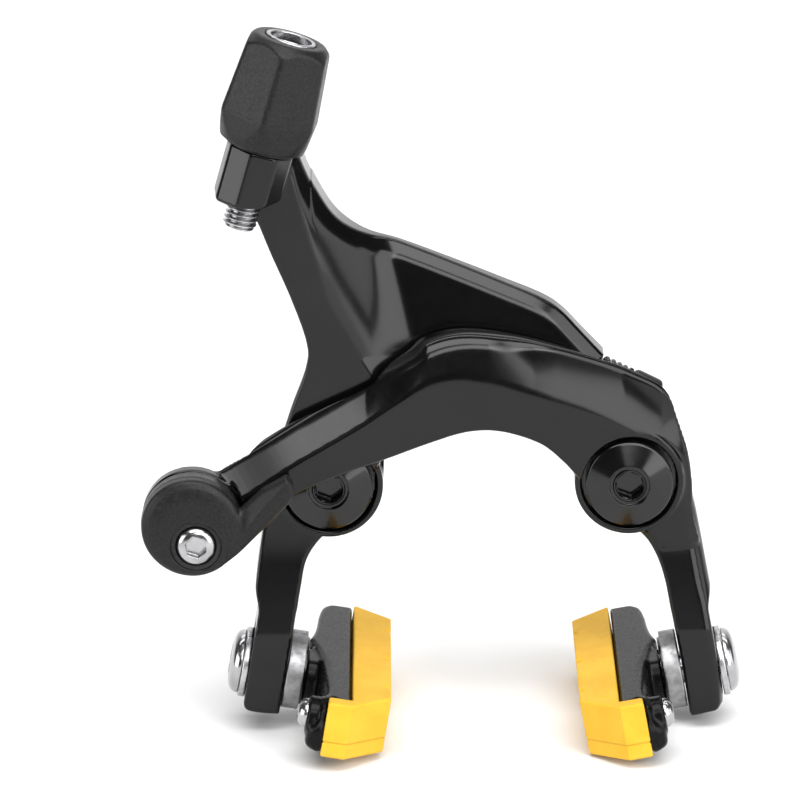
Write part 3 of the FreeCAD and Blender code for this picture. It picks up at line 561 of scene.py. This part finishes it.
# ------------------------------------------------------------ the pieces

def add_piece(name, field, low, high, cell, body, slot, *replaced, local=None):
    """Sculpts a piece, ties it to its body and puts it in place of its CAD nodes."""
    made = sculpt(name, field, low, high, cell, local)
    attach(made, body)
    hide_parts(*replaced)
    finish(made, slot)


def make_arms():
    """Both arms, each over its own CAD node."""
    for node, field, body in (("cable_arm", cable_arm, "cable_side"),
                              ("anchor_arm", anchor_arm, "anchor_side")):
        low, high = box(node)
        add_piece(node + "_shell", field, low - 1.2, high + 1.2, ARM_CELL, body, "gloss_black_arm", node)


LEVER_FRONT = -31.0
LEVER_BACK = -24.4
BLADE_BACK = -26.9
COVER_RADIUS = 8.9

BLADE = Plan(
    ("line", *arc(LEVER_PLACE, COVER_RADIUS, 18, 312, 60)),
    ("curve", (-45.3, -9.5), (-43.1, -8.0), (-39.8, -4.7), (-36.2, -1.2)),
    ("curve", (-34.0, 1.2), (-33.1, 2.6), (-33.0, 4.2), (-33.5, 5.6), (-34.4, 6.3)),
    ("line", (-38.6, 3.9), (-42.9, -0.1)))

# Right and below this line the lever's face falls one way, left and above it the other.
BLADE_RIDGE = Plan(
    ("curve", (-52.0, -16.0), (-45.7, -7.0), (-41.5, -2.9), (-38.2, 0.9), (-34.2, 5.6), (-30.0, 12.0)),
    ("line", (-30.0, 12.0), (-20.0, 12.0), (-20.0, -20.0), (-52.0, -20.0)), margin=20.0)

ANCHOR_PLACE = tuple((box("anchor_bolt")[0] + box("anchor_bolt")[1])[[0, 2]] / 2)


def release_lever(x, y, z):
    """Round cover with a ridged lever, and the cam behind it."""
    out = np.sqrt((x - LEVER_PLACE[0]) ** 2 + (z - LEVER_PLACE[1]) ** 2)
    above = BLADE_RIDGE(x, z)
    crown = LEVER_FRONT + 0.9 * smooth_step(out, 5.0, 10.5)
    rise = LEVER_FRONT + 0.1 + np.where(above > 0, 0.62 * above, -0.20 * above)
    away = smooth_step(out, 7.4, 12.0)
    front = crown * (1 - away) + rise * away
    blade = meet(BLADE(x, z), meet(front - y, y - BLADE_BACK, 0.3), 1.1)
    cover = meet(out - COVER_RADIUS, np.maximum(crown - y, y - LEVER_BACK), 1.0)
    body = join(blade, cover, 0.6)
    cam = np.maximum(out - 6.9, np.maximum(LEVER_BACK - 1 - y, y + 21.0))
    cam_end = np.maximum(out - 6.4, np.maximum(LEVER_BACK - y, y + 20.2))
    body = np.minimum(body, np.minimum(cam, cam_end))
    anchor = np.sqrt((x - ANCHOR_PLACE[0]) ** 2 + (z - ANCHOR_PLACE[1]) ** 2)
    body = carve(body, np.maximum(anchor - 4.5, y + 29.4), 0.5)
    return carve(body, anchor - 2.55, 0.1)


def anchor_bolt(x, y, z):
    """Domed head with a hexagon socket, over a plain shank."""
    u, v = x - ANCHOR_PLACE[0], z - ANCHOR_PLACE[1]
    around = np.sqrt(u * u + v * v)
    head = meet(around - 3.6, -31.7 + 0.06 * around ** 2 - y, 1.2)
    head = meet(head, y + 29.4, 0.3)
    shank = np.maximum(around - 2.5, np.maximum(-30.0 - y, y + 14.8))
    socket = np.maximum(facets(u, v, 6, 1.75, 12.0), y + 29.9)
    return carve(np.minimum(head, shank), socket, 0.15)


def pivot_bolt(centre):
    """Wide conical head with a sunk socket, neck and stud."""

    def field(x, y, z):
        u, v = x - centre[0], z - centre[2]
        around = np.sqrt(u * u + v * v)
        front = -18.0 + 0.36 * np.maximum(around - 3.8, 0)
        head = meet(around - 7.85, np.maximum(front - y, y + 13.9), 0.35)
        dish = np.maximum(around - 3.6, y + 17.0 + 0.1 * around)
        head = carve(head, dish, 0.15)
        collar = np.maximum(np.abs(around - 2.75) - 0.15, np.maximum(-17.6 - y, y + 16.5))
        head = join(head, collar, 0.2)
        socket = np.maximum(facets(u, v, 6, 2.3, 8.0), y + 14.8)
        head = carve(head, socket, 0.2)
        neck = np.maximum(around - 2.7, np.maximum(-15.0 - y, y - 0.3))
        depth = np.maximum(y - 0.4, 0) * np.maximum(11.6 - y, 0) > 0
        turns = y - np.arctan2(v, u) / (2 * math.pi)
        thread = 0.55 * np.abs(2 * (turns - np.floor(turns)) - 1) * depth
        tip = np.maximum(y - 11.3, 0) * 0.9
        stud = np.maximum(around + thread + tip - 3.0, np.maximum(-y, y - 12.0))
        return np.minimum(np.minimum(head, neck), stud)

    return field


def barrel_screw(u, v, along):
    """Hollow screw: thread below, cup for the cable housing on top."""
    around = np.sqrt(u * u + v * v)
    turns = along / 0.9 - np.arctan2(v, u) / (2 * math.pi)
    wave = np.abs(2 * (turns - np.floor(turns)) - 1)
    thread = 0.75 * smooth_step(wave, 0.15, 0.9)
    body = np.maximum(around - 3.0 + thread, np.maximum(-along - 15.8, along - 15.6))
    body = meet(body, around + 0.9 * (-along - 15.8) - 2.4, 0.2)
    cup = meet(around - 4.5, np.maximum(15.3 - along, along - 19.7), 0.3)
    body = np.minimum(body, cup)
    hollow = np.maximum(around - 3.7, 17.6 - along + 0.5 * np.maximum(around - 2.9, 0))
    seat = np.maximum(around - 2.6, 13.7 - along)
    return carve(body, np.minimum(hollow, np.minimum(seat, around - 1.1)), 0.2)


KNOB_LENGTH = 19.5
KNOB_FLAT = 8.3
KNOB_WIDEST = 5.4
NUT_BORE = 4.25


def adjuster_knob(u, v, along):
    """Six-sided moulded grip: its corners are cut back by a cone at either end."""
    around = np.sqrt(u * u + v * v)
    narrower = 0.09 * np.maximum(along - KNOB_WIDEST, 0)
    flat = KNOB_FLAT - narrower - 0.10 * np.maximum(KNOB_WIDEST - along, 0)
    sides = facets(u, v, 6, flat, 24.0, 0.9)
    lower_cone = (around - 7.6 - 0.36 * along) / 1.06
    upper_cone = (around - 6.3 - 0.95 * (KNOB_LENGTH - along)) / 1.38
    body = meet(sides, meet(lower_cone, upper_cone, 0.5), 0.3)
    seam = np.sqrt((along - KNOB_WIDEST) ** 2 + np.minimum(body, 0) ** 2) - 0.07
    body = meet(body, np.maximum(-along, along - KNOB_LENGTH), 0.3)
    body = carve(body, seam, 0.05)
    body = carve(body, np.maximum(around - 4.62, 15.0 - along), 0.3)
    return carve(body, around - NUT_BORE, 0.2)


def make_adjuster():
    add_piece("knob_grip", adjuster_knob, np.array((-11.0, -11.0, -0.6)),
              np.array((11.0, 11.0, KNOB_LENGTH + 0.6)), PART_CELL, "knob", "black_plastic",
              "adjuster_knob", local=ADJUSTER)
    add_piece("barrel_with_thread", barrel_screw, np.array((-5.2, -5.2, -16.4)),
              np.array((5.2, 5.2, 20.2)), THREAD_CELL, "barrel", "bright_steel",
              "barrel_screw", local=ADJUSTER)


def make_release():
    low, high = box("release_lever")
    add_piece("release_lever_grip", release_lever, low - 0.8, high + 0.8, PART_CELL, "release",
              "black_plastic", "release_lever")
    low, high = box("anchor_bolt")
    add_piece("anchor_bolt_polished", anchor_bolt, low - 0.5, high + 0.5, THREAD_CELL, "release",
              "bright_steel", "anchor_bolt")


def make_pivot_bolts():
    for side, centre in (("left", LEFT_PIVOT), ("right", RIGHT_PIVOT)):
        node = "pivot_bolt_" + side
        low, high = box(node)
        add_piece(node + "_turned", pivot_bolt(centre), low - 0.5, high + 0.5, FINE_CELL, "mount",
                  "black_steel", node)


NEAR, FAR = -27.5, 27.5
PAD_BASE, PAD_FACE = 11.8, 18.8
GROOVES = (-15.7, -0.5, 15.3)

SHOE_PLAN = Plan(
    ("line", (11.55, -24.1), (7.3, -24.1), (7.3, -27.3), (6.5, -26.6), (6.7, -18.0)),
    ("curve", (6.7, -18.0), (6.2, -9.0), (5.5, 0.5), (4.6, 4.2), (3.75, 6.6)),
    ("curve", (3.75, 6.9), (4.5, 10.4), (5.0, 15.0), (5.3, 20.5), (5.9, 25.0), (7.2, 27.2)),
    ("line", (8.4, FAR), (11.55, FAR)), margin=6.0)


def insert_corners():
    corners = [(PAD_BASE, -24.3), (7.6, -24.3), (7.5, NEAR), (PAD_BASE, NEAR), (PAD_FACE, NEAR + 7.0)]
    for place in GROOVES:
        corners += [(PAD_FACE, place), (PAD_FACE - 0.9, place + 0.5), (PAD_FACE - 0.9, place + 1.3),
                    (PAD_FACE, place + 1.8)]
    return corners + [(PAD_FACE, FAR - 4.5), (PAD_BASE, FAR)]


INSERT_PLAN = Plan(("line", *insert_corners()), margin=6.0, step=0.25)


def pad_shoe(reach, depth, rise):
    """Holder: flat top flaring out over the bolt, rounded shoulders, bosses for both screws."""
    slab = meet(rise - 4.1, -5.5 - rise, 0.5)
    shoulder = 1.0 + 1.3 * smooth_step(-depth, -3.0, 9.0) * (1 - smooth_step(reach, 8.0, 10.0))
    body = meet(SHOE_PLAN(reach, depth), slab, shoulder)
    around = np.sqrt(depth ** 2 + (rise + 0.7) ** 2)
    boss = meet(around - 5.2, np.maximum(3.6 - reach, reach - 8.0), 0.5)
    body = join(body, meet(boss, rise - 3.2, 0.5), 0.8)
    around_screw = np.sqrt((depth + 22.5) ** 2 + (rise - 0.2) ** 2)
    body = join(body, meet(around_screw - 3.2, np.maximum(4.35 - reach, reach - 7.2), 0.4), 0.8)
    heel = meet(np.abs(reach - 6.4) - 2.0, np.abs(depth + 20.5) - 6.6, 2.0)
    heel = meet(heel, np.abs(rise + 2.8) - 2.7, 2.0)
    return join(body, carve(heel, meet(7.3 - reach, depth + 24.1)), 1.2)


def pad_insert(reach, depth, rise):
    """Friction block: bevelled ends, grooves across its face, moulding seam low on its near end."""
    body = meet(INSERT_PLAN(reach, depth), np.maximum(rise - 4.5, -5.9 - rise), 0.45)
    seam = np.sqrt((rise + 3.0) ** 2 + np.minimum(body, 0) ** 2) - 0.14
    return carve(body, np.maximum(seam, depth + 18.0), 0.05)


def socket_cap(radius, first, last, dome, flat, shank, end, centre=(0.0, 0.0)):
    """Screw along the reach: domed head with a hexagon socket, then its shank."""

    def field(reach, depth, rise):
        u, v = depth - centre[0], rise - centre[1]
        around = np.sqrt(u * u + v * v)
        crown = first + dome * (around / radius) ** 2
        head = meet(around - radius, crown - reach, 1.6)
        head = meet(head, reach - last, 0.3)
        bar = np.maximum(around - shank, np.maximum(last - 0.5 - reach, reach - end))
        socket = np.maximum(facets(u, v, 6, flat), reach - first - 1.6)
        return carve(np.minimum(head, bar), socket, 0.2)

    return field


# Reach of the centre that the domed and the hollow washer turn about.
DOME_CENTRE = 10.35


def washer(outer, inner, first, last, hollow=None, crown=None):
    """Ring along the reach; one face may be hollow or domed."""

    def field(reach, depth, rise):
        around = np.sqrt(depth ** 2 + rise ** 2)
        ring = meet(around - outer, np.maximum(first - reach, reach - last), 0.3)
        ball = np.sqrt((reach - DOME_CENTRE) ** 2 + around ** 2)
        if hollow:
            ring = carve(ring, ball - hollow, 0.1)
        if crown:
            ring = meet(ring, ball - crown, 0.1)
        return carve(ring, around - inner, 0.15)

    return field


# Each kind: shape, cell, ending of its body's name, finish, then its reach, depth and rise.
PAD_PIECES = {
    "pad_bolt": (
        socket_cap(radius=5.9, first=-10.5, last=-8.1, dome=1.0, flat=2.5, shank=3.0, end=9.5),
        0.22, "", "bright_steel", (-10.5, 9.5), (-5.9, 5.9), (-5.9, 5.9)),
    "convex_washer": (
        washer(outer=6.2, inner=3.0, first=0.3, last=3.55, crown=9.9),
        0.25, "", "black_steel", (0.3, 3.6), (-6.2, 6.2), (-6.2, 6.2)),
    "pad_shoe": (
        pad_shoe,
        PART_CELL, "", "shoe_plastic", (3.6, 11.8), (NEAR, FAR), (-5.9, 4.5)),
    "pad_insert": (
        pad_insert,
        PART_CELL, "", "yellow_compound", (7.4, 18.8), (NEAR, FAR), (-5.9, 4.5)),
    "insert_screw": (
        socket_cap(radius=2.7, first=2.3, last=4.3, dome=0.7, flat=1.25, shank=1.5, end=9.8,
                   centre=(-22.5, 0.2)),
        THREAD_CELL, "", "bright_steel", (2.3, 9.8), (-25.2, -19.8), (-2.5, 2.9)),
    "flat_washer": (
        washer(outer=6.4, inner=3.05, first=-8.05, last=-6.85),
        0.25, "_carrier", "bare_steel", (-8.1, -6.8), (-6.4, 6.4), (-6.4, 6.4)),
    "concave_washer": (
        washer(outer=7.2, inner=3.05, first=0.05, last=3.15, hollow=10.0),
        0.25, "_carrier", "satin_aluminium", (0.0, 3.2), (-7.2, 7.2), (-7.2, 7.2)),
}


def make_pads():
    """Seven pieces on each side, each over its own CAD node."""
    for side in SIDES:
        for kind, (field, cell, carried, slot, *spans) in PAD_PIECES.items():
            low, high = np.array(spans).T
            add_piece("%s_%s_shaped" % (kind, side), field, low - 0.8, high + 0.8, cell,
                      side + "_pad" + carried, slot, "%s_%s" % (kind, side), local=PADS[side])


def stop_cap(u, v, along):
    """Rounded plastic cap on the stop screw's end."""
    around = np.sqrt(u * u + v * v)
    body = meet(around - 3.1, np.maximum(6.6 - along, along - 12.2), 1.0)
    body = carve(body, np.maximum(around - 2.5, np.maximum(9.0 - along, along - 11.0)), 0.05)
    return carve(body, np.maximum(around - 1.4, 10.0 - along), 0.2)


def make_stop_cap():
    add_piece("stop_cap_moulded", stop_cap, np.array((-3.8, -3.8, 6.0)), np.array((3.8, 3.8, 12.9)),
              FINE_CELL, "stop", "black_plastic", "stop_screw_cap", local=STOP)


# ---------------------------------------------------------------- materials

MATERIALS = {}


class Nodes:
    """Small helper around one material's node tree."""

    def __init__(self, name):
        self.material = bpy.data.materials.new(name)
        self.material.use_nodes = True
        self.tree = self.material.node_tree
        self.shader = self.tree.nodes["Principled BSDF"]
        self.place = self.add("ShaderNodeTexCoord").outputs["Object"]

    def add(self, kind, **settings):
        node = self.tree.nodes.new(kind)
        for name, value in settings.items():
            setattr(node, name, value)
        return node

    def link(self, output, target):
        self.tree.links.new(output, target)

    def noise(self, scale, detail=4.0, roughness=0.5, stretch=(1, 1, 1)):
        mapping = self.add("ShaderNodeMapping")
        mapping.inputs["Scale"].default_value = stretch
        self.link(self.place, mapping.inputs["Vector"])
        noise = self.add("ShaderNodeTexNoise")
        noise.inputs["Scale"].default_value = scale
        noise.inputs["Detail"].default_value = detail
        noise.inputs["Roughness"].default_value = roughness
        self.link(mapping.outputs["Vector"], noise.inputs["Vector"])
        return noise.outputs["Fac"]

    def spread(self, value, low, high, start=0.35, end=0.65):
        """Turns a noise into a number between low and high."""
        ranged = self.add("ShaderNodeMapRange")
        for name, number in (("From Min", start), ("From Max", end), ("To Min", low), ("To Max", high)):
            ranged.inputs[name].default_value = number
        self.link(value, ranged.inputs["Value"])
        return ranged.outputs["Result"]

    def colours(self, value, first, second, start=0.35, end=0.65):
        mix = self.add("ShaderNodeMix", data_type="RGBA")
        mix.inputs[6].default_value = (*first, 1)
        mix.inputs[7].default_value = (*second, 1)
        self.link(self.spread(value, 0, 1, start, end), mix.inputs[0])
        return mix.outputs[2]

    def bump(self, height, strength, distance):
        bump = self.add("ShaderNodeBump")
        bump.inputs["Strength"].default_value = strength
        bump.inputs["Distance"].default_value = distance
        self.link(height, bump.inputs["Height"])
        self.link(bump.outputs["Normal"], self.shader.inputs["Normal"])

    def set(self, **values):
        for name, value in values.items():
            self.shader.inputs[name.replace("_", " ")].default_value = value


def paint(name, dark, light, rough, coat):
    """Sprayed gloss paint: faint mottling under a clear coat with a little orange peel."""
    n = Nodes(name)
    n.link(n.colours(n.noise(140, 3), dark, light), n.shader.inputs["Base Color"])
    n.link(n.spread(n.noise(900, 2), rough * 0.93, rough * 1.07), n.shader.inputs["Roughness"])
    n.set(Coat_Weight=coat, Coat_Roughness=0.10, Specular_IOR_Level=0.28)
    n.bump(n.noise(900, 2), 0.03, 0.00001)
    return n.material


def plastic(name, dark, light, rough, grain, depth, shine=0.24):
    """Moulded plastic with an eroded grain."""
    n = Nodes(name)
    n.link(n.colours(n.noise(grain, 5, 0.6), dark, light), n.shader.inputs["Base Color"])
    n.link(n.spread(n.noise(grain * 0.7, 4), rough * 0.85, rough * 1.15), n.shader.inputs["Roughness"])
    n.set(Specular_IOR_Level=shine)
    n.bump(n.noise(grain, 6, 0.7), 0.6, depth)
    return n.material


def metal(name, dark, light, rough, stretch=(1, 1, 1), grain=800.0):
    """Bare or plated metal, with tooling marks along one direction."""
    n = Nodes(name)
    n.link(n.colours(n.noise(grain * 0.4, 4, 0.6, stretch), dark, light), n.shader.inputs["Base Color"])
    n.link(n.spread(n.noise(grain, 4, 0.6, stretch), rough * 0.7, rough * 1.35),
           n.shader.inputs["Roughness"])
    n.set(Metallic=1.0)
    n.bump(n.noise(grain, 4, 0.6, stretch), 0.15, 0.00003)
    return n.material


def compound(name, dark, light):
    """Moulded brake compound: dull, faintly grainy, slightly marbled."""
    n = Nodes(name)
    n.link(n.colours(n.noise(160, 5, 0.6), dark, light), n.shader.inputs["Base Color"])
    n.link(n.spread(n.noise(1500, 4), 0.5, 0.68), n.shader.inputs["Roughness"])
    n.set(Specular_IOR_Level=0.2)
    n.bump(n.noise(2200, 5, 0.7), 0.3, 0.00006)
    return n.material


def grey(value):
    """A grey with a trace of blue."""
    return (value, value, value * 1.02)


def make_materials():
    MATERIALS.update({
        "gloss_black_arm": paint("gloss_black_arm", grey(0.0015), grey(0.0025), 0.17, 0.12),
        "black_plate": paint("black_plate", grey(0.006), grey(0.010), 0.38, 0.1),
        "black_steel": paint("black_steel", grey(0.002), grey(0.004), 0.15, 0.35),
        "bare_steel": metal("bare_steel", grey(0.40), grey(0.54), 0.30),
        "bright_steel": metal("bright_steel", grey(0.36), grey(0.46), 0.20),
        "satin_aluminium": metal("satin_aluminium", grey(0.24), grey(0.40), 0.50),
        "spring_steel": metal("spring_steel", grey(0.16), grey(0.26), 0.30),
        "bronze": metal("bronze", (0.32, 0.20, 0.09), (0.45, 0.29, 0.13), 0.35),
        "nylon": plastic("nylon", (0.50, 0.50, 0.47), (0.62, 0.62, 0.58), 0.45, 900, 0.00003),
        "black_plastic": plastic("black_plastic", grey(0.003), grey(0.012), 0.38, 2600, 0.00008),
        "shoe_plastic": plastic("shoe_plastic", grey(0.002), grey(0.004), 0.26, 2600, 0.000003, 0.13),
        "black_rubber": plastic("black_rubber", grey(0.012), grey(0.022), 0.60, 1400, 0.00005),
        "yellow_compound": compound("yellow_compound", (0.68, 0.37, 0.024), (0.74, 0.43, 0.034)),
    })


def finish(piece, slot):
    """Gives a piece one material, named as its slot."""
    piece.data.materials.clear()
    piece.data.materials.append(MATERIALS[slot])


CAD_FINISH = {
    "back_plate": "black_plate",
    "pivot_bolt_left": "black_steel",
    "pivot_bolt_right": "black_steel",
    "pivot_sleeve_left": "bare_steel",
    "pivot_sleeve_right": "bare_steel",
    "front_washers": "black_steel",
    "back_washers": "nylon",
    "return_spring_left": "spring_steel",
    "return_spring_right": "spring_steel",
    "cable_arm_bush": "bronze",
    "anchor_arm_bush": "bronze",
    "adjuster_washer": "black_plastic",
    "stop_screw_spring": "black_steel",
    "stop_screw": "bare_steel",
    "stop_screw_cap": "black_plastic",
    "roller_pin": "bare_steel",
    "sync_roller": "nylon",
    "barrel_screw": "bare_steel",
    "adjuster_knob": "black_plastic",
    "adjuster_nut": "satin_aluminium",
    "release_lever": "black_plastic",
    "anchor_bolt": "bright_steel",
    "release_clip": "spring_steel",
    "cable_clamp": "bare_steel",
    "clamp_nut": "bare_steel",
    "anchor_gasket": "black_rubber",
}
for side in SIDES:
    CAD_FINISH.update({
        "flat_washer_" + side: "bare_steel",
        "concave_washer_" + side: "satin_aluminium",
        "convex_washer_" + side: "black_steel",
        "pad_bolt_" + side: "bright_steel",
        "pad_shoe_" + side: "shoe_plastic",
        "pad_insert_" + side: "yellow_compound",
        "insert_screw_" + side: "bright_steel",
    })


def dress_cad_nodes():
    for node, slot in CAD_FINISH.items():
        finish(nodes[node], slot)


make_materials()
dress_cad_nodes()
make_arms()
make_adjuster()
make_release()
make_pivot_bolts()
make_pads()
make_stop_cap()


# ------------------------------------------------------- floor, light, camera

CAMERA_PLACE = Vector((-14.0, -969.6, 307.7)) * MM
CAMERA_TILT = 17.0
CAMERA_ROLL = 0.67
LENS = 251.2


def make_camera():
    data = bpy.data.cameras.new("camera")
    data.lens = LENS
    data.sensor_width = 36.0
    data.clip_start = 0.05
    camera = bpy.data.objects.new("camera", data)
    look = Matrix.Rotation(math.radians(90 - CAMERA_TILT), 4, "X")
    roll = Matrix.Rotation(math.radians(-CAMERA_ROLL), 4, "Z")
    camera.matrix_world = Matrix.Translation(CAMERA_PLACE) @ look @ roll
    bpy.context.scene.collection.objects.link(camera)
    bpy.context.scene.camera = camera


# The floor, in metres.
FLOOR_HALF_WIDTH = 1.6
FLOOR_FRONT = -1.2
BEND_START = 0.6
BEND_RADIUS = 0.5
BACKDROP_HEIGHT = 1.6


def make_floor():
    """Pale floor under the lowest point, curving up into a backdrop far behind."""
    ground = cad_box[0][2] - 0.0005
    rows = [(FLOOR_FRONT, ground), (BEND_START, ground)]
    rows += [(BEND_START + BEND_RADIUS * math.sin(t), ground + BEND_RADIUS * (1 - math.cos(t)))
             for t in np.linspace(0, math.pi / 2, 12)[1:]]
    rows.append((BEND_START + BEND_RADIUS, ground + BACKDROP_HEIGHT))
    points = [(x, y, z) for y, z in rows for x in (-FLOOR_HALF_WIDTH, FLOOR_HALF_WIDTH)]
    faces = [(2 * row, 2 * row + 1, 2 * row + 3, 2 * row + 2) for row in range(len(rows) - 1)]
    mesh = bpy.data.meshes.new("floor")
    mesh.from_pydata(points, [], faces)
    mesh.polygons.foreach_set("use_smooth", [True] * len(faces))
    floor = bpy.data.objects.new("floor", mesh)
    bpy.context.scene.collection.objects.link(floor)
    n = Nodes("floor")
    n.link(n.colours(n.noise(3, 2), (0.78, 0.78, 0.78), (0.80, 0.80, 0.80)), n.shader.inputs["Base Color"])
    n.set(Roughness=0.9, Specular_IOR_Level=0.1)
    mesh.materials.append(n.material)


def softbox(name, place, target, width, height, power):
    """Rectangular lamp turned towards a target; metres and watts."""
    data = bpy.data.lights.new(name, "AREA")
    data.shape = "RECTANGLE"
    data.size = width
    data.size_y = height
    data.energy = power
    lamp = bpy.data.objects.new(name, data)
    lamp.location = place
    way = Vector(target) - Vector(place)
    lamp.rotation_euler = way.to_track_quat("-Z", "Y").to_euler()
    bpy.context.scene.collection.objects.link(lamp)


def make_lights():
    softbox("overhead", (0.0, -0.42, 0.80), (0, 0, 0.0), 0.9, 0.55, 9.0)
    softbox("behind", (0.0, 0.5, 0.75), (0, 0, 0), 0.9, 0.2, 1.5)
    softbox("front_fill", (0.22, -1.0, 0.60), (0, 0, 0), 0.7, 0.3, 4.0)
    softbox("left_side", (-0.90, -0.42, 0.22), (0, 0, 0.02), 0.75, 0.50, 5.0)
    softbox("right_side", (0.69, -0.71, 0.38), (0, 0, 0.05), 0.64, 0.85, 7.0)
    softbox("right_far", (0.96, -0.18, 0.22), (0, 0, 0.02), 0.45, 0.50, 1.6)
    softbox("backdrop", (0.0, 0.2, 0.9), (0, 1.1, 0.3), 1.6, 0.3, 9.0)
    world = bpy.data.worlds.new("studio")
    world.use_nodes = True
    background = world.node_tree.nodes["Background"]
    background.inputs["Color"].default_value = (1, 1, 1, 1)
    background.inputs["Strength"].default_value = 0.06
    bpy.context.scene.world = world
    bpy.context.scene.view_settings.view_transform = "Standard"


make_camera()
make_floor()
make_lights()
